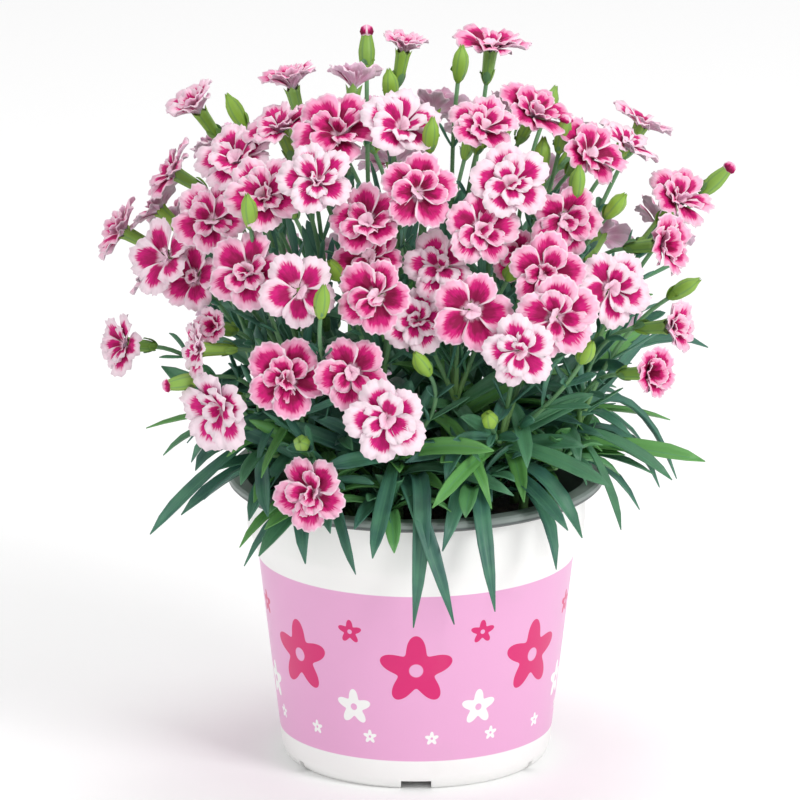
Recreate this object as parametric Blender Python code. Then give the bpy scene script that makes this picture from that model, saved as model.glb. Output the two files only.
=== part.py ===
"""A dianthus in its pot: a thermoformed pot, the soil in it, leafy flowering shoots and their flower heads.

Every size in the tables is in millimetres and is turned into metres where a mesh is made. The plant's places
are given as they are seen from the front: how far to the right of the pot's axis (across) and how far up
(rise) in a picture plane that leans back by VIEW_LEAN. The crown of flowers fills an egg-shaped dome, so the
depth of a flower follows from where the line of sight meets that dome.
"""

import math
import random

import bmesh
import bpy
from mathutils import Matrix, Vector
from mathutils.bvhtree import BVHTree

MM = 0.001
GAP = 0.3
SHARP_ANGLE = math.radians(40)

# The pot: a turned thin-walled shell with a flat flange, a straight collar and a tapering body
RIM_RADIUS = 65.0
POT_HEIGHT = 102.0
FLANGE_DROP = 3.4
COLLAR_RADIUS = 58.8
COLLAR_FOOT = 83.0
RIM_ROUND = 0.8
WALL = 1.3
BAND_TOP = 71.0
BAND_TOP_RADIUS = 54.4
BAND_BOTTOM = 10.0
BAND_BOTTOM_RADIUS = 47.1
SHOULDER = COLLAR_FOOT - BAND_TOP
FOOT_CURVE = 5.2
FOOT_RADIUS = 43.0
FOOT_WIDTH = 2.6
FOOT_HEIGHT = 4.2
POT_SIDES = 40
FEET = 3
WIDE_NOTCH = 10.4
NARROW_NOTCH = 3.0
NOTCH_HEIGHT = 3.4
DRAIN_HOLES = 6
DRAIN_RADIUS = 3.0
DRAIN_CIRCLE = 26.0

# The soil: filled to some way under the rim and a little higher in the middle
SOIL_EDGE = 88.0
SOIL_MIDDLE = 90.5
SOIL_CLEARANCE = 0.4

# The crown of flowers and the direction it is seen from
VIEW_LEAN = math.radians(16.5)
DOME_MIDDLE = 140.0
DOME_WIDTH = 108.0
DOME_DEPTH = 92.0
DOME_RISE = 112.0
LIFT = 0.35

# Stems, calyces and buds
STEM_RADIUS = 1.5
STALK_RADIUS = 0.9
STALK_SIDES = 4
CALYX_RADIUS = 2.3
CALYX_LENGTH = 12.0
NECK_LENGTH = 3.0
NECK_RADIUS = 1.7
FORK_SHARE = 0.5
BUD_RADIUS = 3.0
BUD_LENGTH = 13.0
HALF_OPEN_RADIUS = 6.5
HALF_OPEN_LENGTH = 9.0

# Flower heads: five notched petals joined in one dish
PETALS = 5
NOTCH = 0.84
DISH = 1.6
PETAL_THICKNESS = 1.1

# Leaves: narrow blades in opposite pairs, each pair turned a quarter round from the last
LEAF_WIDTH = 4.6
LEAF_THICKNESS = 1.1
LEAF_SEED = 21
LEAF_LENGTH = 46.0
LEAF_PAIRS = (0.3, 0.6, 0.92)

# How wide a blade is along its length, as shares of its full width
BLADE = ((0.0, 0.45), (0.4, 1.0), (0.75, 0.7), (1.0, 0.0))

# Each shoot: where it leaves the soil (x, y), then its heads. A head is its kind, its place across and rise,
# how much deeper than the dome it sits, its width, and where it faces (right, back, up) unless it faces
# straight out of the dome. Kinds: open is a flower head of its own, joined is a flower that stays one with
# its shoot, half is a half-open flower, bud is a closed one. A minus width puts the head on the far side.
SHOOTS = {
    "left_low": ((-37, -4), (
        ("open", -102, 141, 4, 20, (-0.75, -0.6, 0.3)),
        ("half", -70, 147, 8, 14, (-0.5, -0.7, 0.5)),
        ("joined", -76, 139, 0, 18, (-0.8, -0.5, 0.2)),
        ("bud", -79, 128, 0, 8, (-0.9, -0.3, -0.1)),
    )),
    "left": ((-33, 8), (
        ("open", -103, 181, 0, 22, (-0.9, 0.0, 0.35)),
        ("open", -87, 171, 0, 24, (-0.55, -0.8, 0.3)),
        ("joined", -90, 189, 22, 22, (-0.8, 0.2, 0.6)),
        ("open", -85, 201, 0, 22, (-0.8, -0.2, 0.6)),
    )),
    "left_top": ((-26, -2), (
        ("half", -76, 223, 0, 20, (-0.6, 0.1, 0.9)),
        ("open", -62, 205, 0, 26, (-0.35, -0.7, 0.7)),
        ("bud", -62, 221, 8, 9, None),
        ("joined", -70, 184, 0, 24, (-0.4, -0.9, 0.4)),
    )),
    "top_left": ((-18, 10), (
        ("half", -43, 231, 0, 20, (-0.4, 0.3, 1.0)),
        ("open", -47, 216, 0, 24, (-0.2, -0.4, 1.0)),
        ("open", -52, 192, -6, 25, (-0.2, -0.8, 0.6)),
    )),
    "top": ((-10, 0), (
        ("open", -27, 214, 0, 28, (-0.1, -0.6, 0.9)),
        ("open", -34, 197, -10, 24, (-0.2, -0.9, 0.5)),
        ("half", -21, 231, 0, 20, (-0.1, 0.4, 1.0)),
        ("bud", -9, 229, 0, 8, None),
        ("bud", -17, 241, 6, 9, (0.0, 0.3, 1.0)),
    )),
    "middle_top": ((0, 8), (
        ("half", -4, 244, 0, 16, (0.1, 0.2, 1.0)),
        ("open", -5, 216, 0, 26, (0.1, -0.5, 1.0)),
        ("open", 1, 193, -6, 25, (0.0, -0.9, 0.5)),
    )),
    "right_top": ((10, 10), (
        ("open", 26, 245, 4, 25, (0.25, -0.2, 1.0)),
        ("bud", 15, 237, 2, 8, None),
        ("open", 23, 216, -4, 23, (0.1, -0.6, 0.9)),
    )),
    "right_upper": ((16, 0), (
        ("open", 41, 221, 0, 25, (0.3, -0.4, 0.9)),
        ("open", 32, 196, -6, 25, (0.2, -0.8, 0.6)),
        ("bud", 43, 205, 16, 9, (0.1, 0.1, 1.0)),
    )),
    "right_back": ((25, 8), (
        ("open", 60, 207, 0, 24, (0.4, -0.5, 0.8)),
        ("open", 73, 211, 8, 22, (0.6, -0.1, 0.8)),
        ("joined", 79, 219, 26, 22, (0.6, 0.1, 1.0)),
        ("bud", 68, 188, -4, 9, None),
    )),
    "right": ((34, 3), (
        ("open", 91, 192, 0, 23, (0.7, -0.4, 0.7)),
        ("half", 84, 175, 6, 22, (0.75, -0.5, 0.45)),
        ("bud", 103, 197, 4, 9, (0.7, 0.0, 0.7)),
    )),
    "right_middle": ((25, -8), (
        ("open", 51, 183, 7, 24, (0.3, -1.0, 0.3)),
        ("open", 44, 165, -1, 25, (0.25, -1.0, 0.25)),
        ("joined", 35, 171, 22, 18, (0.1, -1.0, 0.5)),
        ("open", 67, 160, 0, 25, (0.6, -0.8, 0.2)),
    )),
    "middle": ((12, -12), (
        ("open", 22, 180, 0, 24, (0.15, -0.9, 0.5)),
        ("open", 19, 152, 0, 25, (0.1, -1.0, 0.2)),
        ("joined", 0, 149, 10, 22, (0.0, -1.0, 0.4)),
        ("joined", 8, 168, 11, 23, (0.0, -1.0, 0.6)),
        ("bud", 33, 166, 14, 9, None),
    )),
    "right_front": ((24, -22), (
        ("open", 48, 150, -9, 26, (0.25, -1.0, 0.1)),
        ("open", 35, 138, -8, 23, (0.1, -1.0, 0.1)),
        ("bud", 25, 115, 14, 9, (-0.1, -0.9, 0.6)),
    )),
    "right_low": ((37, -8), (
        ("half", 88, 147, 4, 18, (0.8, -0.4, 0.3)),
        ("bud", 92, 160, 16, 8, None),
        ("half", 80, 131, 0, 18, (0.8, -0.45, 0.2)),
    )),
    "left_middle": ((-8, -14), (
        ("open", -17, 183, 0, 24, (-0.1, -0.9, 0.5)),
        ("open", -14, 157, -2, 24, (-0.1, -1.0, 0.2)),
        ("joined", -16, 171, 13, 22, (-0.1, -1.0, 0.6)),
        ("bud", -28, 166, 10, 9, None),
    )),
    "left_upper": ((-23, -12), (
        ("open", -58, 166, 0, 26, (-0.4, -0.9, 0.3)),
        ("joined", -77, 164, 10, 22, (-0.6, -0.8, 0.3)),
        ("open", -40, 159, -2, 24, (-0.2, -1.0, 0.2)),
    )),
    "front": ((-6, -26), (
        ("open", -22, 131, 4, 23, (-0.1, -1.0, 0.1)),
        ("open", -10, 115, -4, 26, (-0.05, -1.0, 0.2)),
        ("bud", 2, 134, 10, 8, (-0.4, -0.6, 0.8)),
    )),
    "left_front": ((-22, -24), (
        ("open", -68, 118, 2, 27, (-0.45, -0.95, 0.15)),
        ("open", -44, 129, 4, 26, (-0.2, -1.0, 0.1)),
        ("open", -36, 90, 0, 24, (-0.5, -0.9, 0.1)),
    )),
    "back_left": ((-14, 24), (
        ("open", -48, 196, 0, -24, None),
        ("joined", -66, 160, 0, -24, None),
        ("joined", -84, 186, 4, -22, None),
        ("bud", -30, 150, 0, -9, None),
    )),
    "back": ((4, 30), (
        ("open", -8, 206, 0, -25, None),
        ("joined", 6, 172, 3, -24, None),
        ("joined", -28, 174, 2, -22, None),
        ("joined", -10, 140, 4, -23, None),
        ("bud", 22, 190, 0, -9, None),
    )),
    "back_right": ((22, 22), (
        ("open", 46, 198, 0, -24, None),
        ("joined", 68, 158, 0, -24, None),
        ("joined", 38, 158, 0, -22, None),
        ("joined", 86, 184, 4, -22, None),
    )),
}


# Long low leaves: the shoot each grows on, how far up its stem, its tip (x, y, z) and how high it arches
APRON = (
    ("front", 0.35, (13, -78, 70), 30),
    ("front", 0.15, (-1, -72, 67), 22),
    ("right_front", 0.2, (27, -76, 74), 26),
    ("left_front", 0.3, (-59, -62, 86), 16),
    ("right_front", 0.15, (48, -66, 86), 18),
    ("right_front", 0.4, (57, -52, 93), 22),
    ("middle", 0.3, (9, -74, 95), 22),
    ("left_front", 0.15, (-38, -66, 88), 14),
    ("left_upper", 0.25, (-73, -36, 102), 22),
    ("left_low", 0.35, (-76, -28, 110), 20),
    ("left_upper", 0.5, (-57, -42, 97), 18),
    ("right_low", 0.3, (77, -25, 95), 22),
    ("right_low", 0.5, (84, -15, 100), 24),
    ("right_low", 0.95, (90, -8, 101), 20),
    ("right", 0.3, (83, 4, 102), 22),
    ("right", 0.5, (101, 10, 143), 36),
    ("back_right", 0.2, (62, 46, 88), 20),
    ("back_right", 0.4, (80, 34, 100), 24),
    ("back", 0.2, (24, 76, 78), 24),
    ("back", 0.4, (-4, 80, 74), 28),
    ("back_left", 0.2, (-40, 64, 84), 20),
    ("back_left", 0.4, (-66, 44, 96), 24),
    ("left", 0.3, (-78, 22, 98), 22),
)


def clear_scene():
    """Removes whatever the file starts with."""
    for item in list(bpy.data.objects):
        bpy.data.objects.remove(item, do_unlink=True)


def make_material(name, colour, roughness):
    """A plain Principled material in the part's own colour."""
    material = bpy.data.materials.new(name)
    material.use_nodes = True
    shader = material.node_tree.nodes["Principled BSDF"]
    shader.inputs["Base Color"].default_value = (*colour, 1.0)
    shader.inputs["Roughness"].default_value = roughness
    shader.inputs["Metallic"].default_value = 0.0
    return material


def add_object(name, mesh, material):
    """Puts a finished mesh into the scene as a named node with its material."""
    mesh.materials.clear()
    mesh.materials.append(material)
    mesh.shade_smooth()
    mesh.set_sharp_from_angle(angle=SHARP_ANGLE)
    node = bpy.data.objects.new(name, mesh)
    bpy.context.scene.collection.objects.link(node)
    return node


def as_mesh(name, points, faces):
    """A closed mesh in metres from points in millimetres, with its faces turned outwards."""
    shape = bmesh.new()
    corners = [shape.verts.new(Vector(point) * MM) for point in points]
    for face in faces:
        shape.faces.new([corners[index] for index in face])
    bmesh.ops.recalc_face_normals(shape, faces=shape.faces)
    mesh = bpy.data.meshes.new(name)
    shape.to_mesh(mesh)
    shape.free()
    return mesh


def turned(name, profile, sides):
    """Turns a closed profile of (radius, height) points round Z; points on the axis become poles."""
    points = []
    rings = []
    for radius, height in profile:
        if radius == 0:
            rings.append([len(points)])
            points.append((0, 0, height))
            continue
        rings.append([len(points) + step for step in range(sides)])
        for step in range(sides):
            turn = 2 * math.pi * step / sides
            points.append((radius * math.cos(turn), radius * math.sin(turn), height))
    faces = []
    for here, after in zip(rings, rings[1:] + rings[:1]):
        if len(here) == 1 and len(after) == 1:
            continue
        for step in range(sides):
            following = (step + 1) % sides
            corners = [here[step % len(here)], here[following % len(here)]]
            corners += [after[following % len(after)], after[step % len(after)]]
            faces.append(list(dict.fromkeys(corners)))
    return as_mesh(name, points, faces)


def evaluated(node):
    """The mesh that a node's modifiers give, as a mesh of its own."""
    depsgraph = bpy.context.evaluated_depsgraph_get()
    return bpy.data.meshes.new_from_object(node.evaluated_get(depsgraph), depsgraph=depsgraph)


def combine(name, body, tools, operation):
    """Joins or cuts a mesh with others by an exact Boolean, and removes the helpers afterwards."""
    helpers = bpy.data.collections.new(name + "_tools")
    base = bpy.data.objects.new(name + "_base", body)
    bpy.context.scene.collection.objects.link(base)
    bpy.context.scene.collection.children.link(helpers)
    for index, tool in enumerate(tools):
        helper = bpy.data.objects.new(f"{name}_tool_{index}", tool)
        helper.hide_render = True
        helper.display_type = "WIRE"
        helpers.objects.link(helper)
    cut = base.modifiers.new("combine", "BOOLEAN")
    cut.operation = operation
    cut.solver = "EXACT"
    cut.operand_type = "COLLECTION"
    cut.collection = helpers
    result = evaluated(base)
    result.name = name
    for helper in list(helpers.objects):
        bpy.data.objects.remove(helper, do_unlink=True)
    bpy.data.collections.remove(helpers)
    bpy.data.objects.remove(base, do_unlink=True)
    return result


def box(middle, size, turn):
    """A box of full sizes size about middle, turned about Z."""
    shape = bmesh.new()
    bmesh.ops.create_cube(shape, size=1.0)
    place = Matrix.Rotation(turn, 4, "Z") @ Matrix.Translation(Vector(middle) * MM)
    scale = Matrix.Diagonal((size[0] * MM, size[1] * MM, size[2] * MM, 1.0))
    bmesh.ops.transform(shape, matrix=place @ scale, verts=shape.verts)
    mesh = bpy.data.meshes.new("box")
    shape.to_mesh(mesh)
    shape.free()
    return mesh


def outer_profile():
    """The pot's outside, from the foot up to the flange."""
    return [
        (FOOT_RADIUS, 0),
        (BAND_BOTTOM_RADIUS - 1.7, FOOT_CURVE * 0.35),
        (BAND_BOTTOM_RADIUS - 0.4, FOOT_CURVE),
        (BAND_BOTTOM_RADIUS, BAND_BOTTOM),
        (BAND_TOP_RADIUS, BAND_TOP),
        (BAND_TOP_RADIUS + 0.9, BAND_TOP + SHOULDER * 0.38),
        (BAND_TOP_RADIUS + 2.7, BAND_TOP + SHOULDER * 0.7),
        (COLLAR_RADIUS - 0.3, COLLAR_FOOT),
        (COLLAR_RADIUS, POT_HEIGHT - FLANGE_DROP),
        (RIM_RADIUS - RIM_ROUND, POT_HEIGHT - FLANGE_DROP),
        (RIM_RADIUS, POT_HEIGHT - FLANGE_DROP + RIM_ROUND),
        (RIM_RADIUS, POT_HEIGHT - RIM_ROUND),
        (RIM_RADIUS - RIM_ROUND, POT_HEIGHT),
    ]


def inner_profile():
    """The pot's inside, from the flange down to the floor."""
    return [
        (COLLAR_RADIUS + 0.8, POT_HEIGHT),
        (COLLAR_RADIUS - WALL + 0.3, POT_HEIGHT - 2.6),
        (COLLAR_RADIUS - WALL - 0.4, COLLAR_FOOT),
        (BAND_TOP_RADIUS - WALL + 1.2, BAND_TOP + SHOULDER * 0.55),
        (BAND_TOP_RADIUS - WALL, BAND_TOP),
        (BAND_BOTTOM_RADIUS - WALL, BAND_BOTTOM),
        (FOOT_RADIUS - 0.4, FOOT_HEIGHT + WALL),
        (0, FOOT_HEIGHT + WALL),
        (0, FOOT_HEIGHT),
        (FOOT_RADIUS - FOOT_WIDTH - 1.2, FOOT_HEIGHT),
        (FOOT_RADIUS - FOOT_WIDTH, 0),
    ]


def make_pot():
    """The shell, its foot ring cut by wide and narrow notches in turn, and its drain holes."""
    shell = turned("pot", outer_profile() + inner_profile(), POT_SIDES)
    cutters = []
    for index in range(2 * FEET):
        width = NARROW_NOTCH if index % 2 else WIDE_NOTCH
        turn = math.pi * index / FEET
        middle = (0, -FOOT_RADIUS, 0)
        cutters.append(box(middle, (width, 4 * FOOT_WIDTH, 2 * NOTCH_HEIGHT), turn))
    for index in range(DRAIN_HOLES):
        shape = bmesh.new()
        radius = DRAIN_RADIUS * MM
        depth = 4 * FOOT_HEIGHT * MM
        bmesh.ops.create_cone(shape, cap_ends=True, segments=8, radius1=radius, radius2=radius, depth=depth)
        turn = 2 * math.pi * (index + 0.5) / DRAIN_HOLES
        place = Vector((DRAIN_CIRCLE * math.cos(turn), DRAIN_CIRCLE * math.sin(turn), FOOT_HEIGHT)) * MM
        bmesh.ops.translate(shape, vec=place, verts=shape.verts)
        hole = bpy.data.meshes.new("drain")
        shape.to_mesh(hole)
        shape.free()
        cutters.append(hole)
    return combine("pot", shell, cutters, "DIFFERENCE")


def make_soil():
    """The soil block, which follows the pot's inside with a hair's breadth to spare."""
    inside = inner_profile()
    collar, shoulder, band_top = [(radius - SOIL_CLEARANCE, height) for radius, height in inside[2:5]]
    floor_radius, floor_height = inside[6]
    floor = floor_height + SOIL_CLEARANCE
    profile = [(0, floor), (floor_radius - SOIL_CLEARANCE, floor), band_top, shoulder, collar]
    profile += [(collar[0], SOIL_EDGE), (0, SOIL_MIDDLE)]
    return turned("soil", profile, POT_SIDES)


def soil_height(radius):
    """How high the soil's top lies at a distance from the pot's axis."""
    edge = inner_profile()[2][0] - SOIL_CLEARANCE
    return SOIL_MIDDLE + (SOIL_EDGE - SOIL_MIDDLE) * radius / edge


def along_view(across, rise, depth):
    """The point seen at across and rise, depth further along the line of sight than the pot's axis."""
    back = rise * math.sin(VIEW_LEAN) + depth * math.cos(VIEW_LEAN)
    height = rise * math.cos(VIEW_LEAN) - depth * math.sin(VIEW_LEAN)
    return Vector((across, back, height))


def on_dome(across, rise, sink, far):
    """Where the line of sight meets the dome, on its near or far side, and the way out of it there."""
    start = along_view(across, rise, 0)
    way = along_view(across, rise, 1) - start
    scale = Vector((1 / DOME_WIDTH, 1 / DOME_DEPTH, 1 / DOME_RISE))
    centre = Vector((0, 0, DOME_MIDDLE))
    offset = (start - centre) * scale
    slope = way * scale
    square = slope.dot(slope)
    half = offset.dot(slope)
    rest = half * half - square * (offset.dot(offset) - 1)
    reach = math.sqrt(max(rest, 0.0)) / square
    depth = -half / square + (reach if far else -reach)
    point = along_view(across, rise, depth + (-sink if far else sink))
    out = (point - centre) * scale * scale
    out.normalize()
    out.z += LIFT
    return point, out.normalized()


def curve_point(route, share):
    """A point on the quadratic curve through the ends of route that leans towards its middle point."""
    start, middle, end = route
    return start.lerp(middle, share).lerp(middle.lerp(end, share), share)


def side_frame(way, hint=Vector((0, 0, 1))):
    """Two directions across way."""
    first = way.cross(hint)
    if first.length < 0.05:
        first = way.cross(Vector((1, 0, 0)))
    first.normalize()
    return first, first.cross(way).normalized()


def tube(stations, sides=STALK_SIDES):
    """A closed tube through stations of (point, radius); an end radius of 0 closes in a point."""
    points = []
    rings = []
    count = len(stations)
    across, over = None, None
    for index, (point, radius) in enumerate(stations):
        before = stations[max(index - 1, 0)][0]
        after = stations[min(index + 1, count - 1)][0]
        way = (after - before).normalized()
        if across is None:
            across, over = side_frame(way)
        else:
            across = (across - way * across.dot(way)).normalized()
            over = across.cross(way).normalized()
        if radius == 0:
            rings.append([len(points)])
            points.append(point)
            continue
        rings.append([len(points) + step for step in range(sides)])
        for step in range(sides):
            turn = 2 * math.pi * step / sides
            points.append(point + (across * math.cos(turn) + over * math.sin(turn)) * radius)
    faces = []
    for here, after in zip(rings, rings[1:]):
        for step in range(sides):
            following = (step + 1) % sides
            corners = [here[step % len(here)], here[following % len(here)]]
            corners += [after[following % len(after)], after[step % len(after)]]
            faces.append(list(dict.fromkeys(corners)))
    faces += [ring for ring in (rings[0], rings[-1]) if len(ring) > 1]
    return as_mesh("tube", points, faces)


def leaf(route, side, width):
    """One blade along a curved route: three-cornered in section with a keel below, and pointed."""
    points = []
    rings = []
    for share, breadth in BLADE:
        centre = curve_point(route, share)
        onward = curve_point(route, share + 0.02) - curve_point(route, share - 0.02)
        onward.normalize()
        across = (side - onward * side.dot(onward)).normalized()
        under = across.cross(onward).normalized()
        if breadth == 0:
            rings.append([len(points)])
            points.append(centre)
            continue
        half = width * breadth / 2
        rings.append([len(points) + step for step in range(3)])
        points += [centre + across * half, centre - across * half, centre + under * LEAF_THICKNESS]
    faces = [rings[0]]
    for here, after in zip(rings, rings[1:]):
        for step in range(3):
            following = (step + 1) % 3
            corners = [here[step], here[following], after[following % len(after)], after[step % len(after)]]
            faces.append(list(dict.fromkeys(corners)))
    return as_mesh("leaf", points, faces)


def flower_dish(centre, facing, width, neck_start):
    """Five petals as one notched dish on a short neck that reaches back to neck_start behind its middle."""
    across, over = side_frame(facing)
    sides = 2 * PETALS
    radius = width / 2
    rings = []
    points = []

    def ring(size, lift, notched):
        rings.append([len(points) + step for step in range(sides)])
        for step in range(sides):
            turn = 2 * math.pi * step / sides
            here = size * (NOTCH if notched and step % 2 else 1.0)
            points.append(centre + facing * lift + (across * math.cos(turn) + over * math.sin(turn)) * here)

    ring(NECK_RADIUS, -neck_start, False)
    ring(NECK_RADIUS, -PETAL_THICKNESS, False)
    ring(radius, DISH - PETAL_THICKNESS, True)
    ring(radius, DISH, True)
    faces = [rings[0]]
    for here, after in zip(rings, rings[1:]):
        for step in range(sides):
            following = (step + 1) % sides
            faces.append([here[step], here[following], after[following], after[step]])
    points.append(centre)
    for step in range(sides):
        faces.append([rings[-1][step], rings[-1][(step + 1) % sides], len(points) - 1])
    return as_mesh("flower", points, faces)


class Head:
    """One flower or bud: where it is, where it faces, and where its stalk ends."""

    def __init__(self, kind, across, rise, sink, width, facing):
        self.kind = kind
        self.width = abs(width)
        self.point, out = on_dome(across, rise, sink, width < 0)
        self.facing = Vector(facing).normalized() if facing else out
        if kind == "bud":
            self.mouth = self.point + self.facing * (BUD_LENGTH / 2)
            self.calyx_foot = self.point - self.facing * (BUD_LENGTH / 2)
        else:
            self.mouth = self.point - self.facing * NECK_LENGTH
            self.calyx_foot = self.mouth - self.facing * CALYX_LENGTH


def stalk_mesh(head, fork):
    """A stalk from the fork to the head with the calyx, the half-open flower or the bud that ends it."""
    reach = (head.calyx_foot - fork).length
    route = (fork, head.calyx_foot - head.facing * (reach * 0.45), head.calyx_foot)
    stations = [(fork, STALK_RADIUS), (curve_point(route, 0.5), STALK_RADIUS)]
    stations += [(head.calyx_foot, STALK_RADIUS + 0.2)]
    if head.kind == "bud":
        stations += [(head.point + head.facing * 1.0, BUD_RADIUS), (head.mouth, 0)]
        return tube(stations)
    stations += [(head.calyx_foot + head.facing * 1.5, CALYX_RADIUS * 0.85), (head.mouth, CALYX_RADIUS)]
    if head.kind == "half":
        stations += [(head.mouth + head.facing * HALF_OPEN_LENGTH, HALF_OPEN_RADIUS)]
    return tube(stations)


def grown(mesh, clearance=0.35):
    """The mesh pushed out along its normals, as a tree for overlap tests."""
    shape = bmesh.new()
    shape.from_mesh(mesh)
    shape.normal_update()
    moved = [(vertex, vertex.co + vertex.normal * clearance * MM) for vertex in shape.verts]
    for vertex, place in moved:
        vertex.co = place
    tree = BVHTree.FromBMesh(shape)
    shape.free()
    return tree


def is_clear(mesh, others):
    """Whether a mesh stays clear of all the trees in others."""
    tree = grown(mesh)
    return not any(tree.overlap(other) for other in others)


def stem_leaves(route, chance):
    """The opposite pairs of leaves along one stem, as (route, side, width)."""
    blades = []
    turn = chance.uniform(0, math.pi)
    for share in LEAF_PAIRS:
        node = curve_point(route, share)
        way = (curve_point(route, share + 0.05) - curve_point(route, share - 0.05)).normalized()
        across, over = side_frame(way)
        reach = LEAF_LENGTH * chance.uniform(0.75, 1.15)
        for sign in (1, -1):
            out = (across * math.cos(turn) + over * math.sin(turn)) * sign
            base = node + out * (STEM_RADIUS * 0.4) + way * sign * 0.3
            ahead = (way * 0.9 + out).normalized()
            droop = Vector((0, 0, -reach * chance.uniform(0.1, 0.45)))
            tip = base + ahead * reach + out * reach * 0.1 + droop
            curve = (base, base + ahead * (reach * 0.5), tip)
            blades.append((curve, way.cross(out).normalized(), LEAF_WIDTH))
        turn += math.pi / 2
    return blades


def apron_leaf(route, share, tip, arch):
    """A long low leaf that rises from its stem, clears the pot's rim and hangs down to its tip."""
    base = curve_point(route, share)
    end = Vector(tip)
    middle = base.lerp(end, 0.6)
    middle.z = max(base.z, POT_HEIGHT) + arch
    side = Vector((0, 0, 1)).cross(end - base).normalized()
    return (base, middle, end), side, LEAF_WIDTH


def plan_shoot(base, heads):
    """The main stem's route and the heads of one shoot."""
    made = [Head(*head) for head in heads]
    start = Vector((base[0], base[1], soil_height(math.hypot(*base)) + GAP))
    centre = sum((head.calyx_foot for head in made), Vector()) / len(made)
    fork = start.lerp(centre, FORK_SHARE)
    return (start, start + Vector((0, 0, (fork - start).length * 0.5)), fork), made


def grow_plant(green, petal):
    """All shoots and flower heads. Stems and flowers come first, and a leaf grows only where it is clear."""
    plans = {name: plan_shoot(*shoot) for name, shoot in SHOOTS.items()}
    stems = {}
    trees = []
    flowers = 0
    for name, (route, heads) in plans.items():
        count = 4
        stations = [(curve_point(route, step / (count - 1)), STEM_RADIUS) for step in range(count)]
        parts = [tube(stations)]
        for head in heads:
            parts.append(stalk_mesh(head, route[2] - (route[2] - route[1]).normalized() * 1.2))
            if head.kind == "joined":
                parts.append(flower_dish(head.point, head.facing, head.width, NECK_LENGTH + 1))
            if head.kind == "open":
                flowers += 1
                dish = flower_dish(head.point, head.facing, head.width, NECK_LENGTH - GAP)
                trees.append((f"flower_{flowers:02d}", grown(dish, 0.1)))
                add_object(f"flower_{flowers:02d}", dish, petal)
        stems[name] = parts
        trees += [(name, grown(part, 0.1)) for part in parts]
    chance = random.Random(LEAF_SEED)
    walls = [grown(bpy.data.objects[name].data, 0.1) for name in ("pot", "soil")]
    skipped = 0
    for name, (route, heads) in plans.items():
        others = [tree for owner, tree in trees if owner != name] + walls
        blades = [apron_leaf(route, *low[1:]) for low in APRON if low[0] == name]
        blades += stem_leaves(route, chance)
        for blade in blades:
            mesh = leaf(*blade)
            if not is_clear(mesh, others):
                skipped += 1
                continue
            stems[name].append(mesh)
            trees.append((name, grown(mesh, 0.1)))
        shoot = combine("shoot_" + name, stems[name][0], stems[name][1:], "UNION")
        add_object("shoot_" + name, shoot, green)
    print("leaves left out where they would pass through something:", skipped)


def main():
    """Builds the whole plant with its pot."""
    clear_scene()
    pot_plastic = make_material("pot_plastic", (0.8, 0.8, 0.78), 0.35)
    soil_earth = make_material("soil_earth", (0.02, 0.018, 0.016), 0.95)
    leaf_green = make_material("leaf_green", (0.07, 0.16, 0.12), 0.5)
    petal_pink = make_material("petal_pink", (0.75, 0.2, 0.45), 0.55)
    add_object("pot", make_pot(), pot_plastic)
    add_object("soil", make_soil(), soil_earth)
    grow_plant(leaf_green, petal_pink)


main()
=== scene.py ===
# %% [markdown]
# # A dianthus in its pot
# The object is a bushy dianthus with fringed pink and magenta flowers, in a white plastic pot with a printed
# pink band and a grey rim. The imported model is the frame: it holds the plain solids at their real places, and
# every piece made here stands for one of them. Lengths in the tables are millimetres, as on a workshop
# drawing, and turn into metres where a mesh is made.

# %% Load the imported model
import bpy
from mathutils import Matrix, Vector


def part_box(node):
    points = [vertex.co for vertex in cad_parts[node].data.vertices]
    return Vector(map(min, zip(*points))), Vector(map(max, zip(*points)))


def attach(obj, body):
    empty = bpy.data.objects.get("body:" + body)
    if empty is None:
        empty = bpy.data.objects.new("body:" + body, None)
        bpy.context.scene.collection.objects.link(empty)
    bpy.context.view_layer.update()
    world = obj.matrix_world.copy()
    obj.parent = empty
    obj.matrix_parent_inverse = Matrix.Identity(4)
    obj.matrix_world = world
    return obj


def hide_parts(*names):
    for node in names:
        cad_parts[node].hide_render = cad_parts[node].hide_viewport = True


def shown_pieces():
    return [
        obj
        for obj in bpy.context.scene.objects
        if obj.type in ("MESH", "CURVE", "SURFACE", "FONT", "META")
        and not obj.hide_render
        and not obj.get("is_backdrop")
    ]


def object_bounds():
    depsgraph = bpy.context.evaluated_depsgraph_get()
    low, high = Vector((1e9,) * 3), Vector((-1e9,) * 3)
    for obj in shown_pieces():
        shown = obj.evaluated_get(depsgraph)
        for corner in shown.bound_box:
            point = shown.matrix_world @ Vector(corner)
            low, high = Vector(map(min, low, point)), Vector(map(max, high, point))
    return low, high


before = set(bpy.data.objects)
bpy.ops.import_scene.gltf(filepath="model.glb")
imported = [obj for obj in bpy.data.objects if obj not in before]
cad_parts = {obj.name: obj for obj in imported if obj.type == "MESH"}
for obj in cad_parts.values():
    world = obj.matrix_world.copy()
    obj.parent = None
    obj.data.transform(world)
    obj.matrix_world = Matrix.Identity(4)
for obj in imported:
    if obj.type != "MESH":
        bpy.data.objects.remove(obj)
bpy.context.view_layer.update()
print("nodes:", len(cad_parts))

# %% Modules and driving sizes
import math
import random

import bpy
from mathutils import Vector, noise

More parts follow.
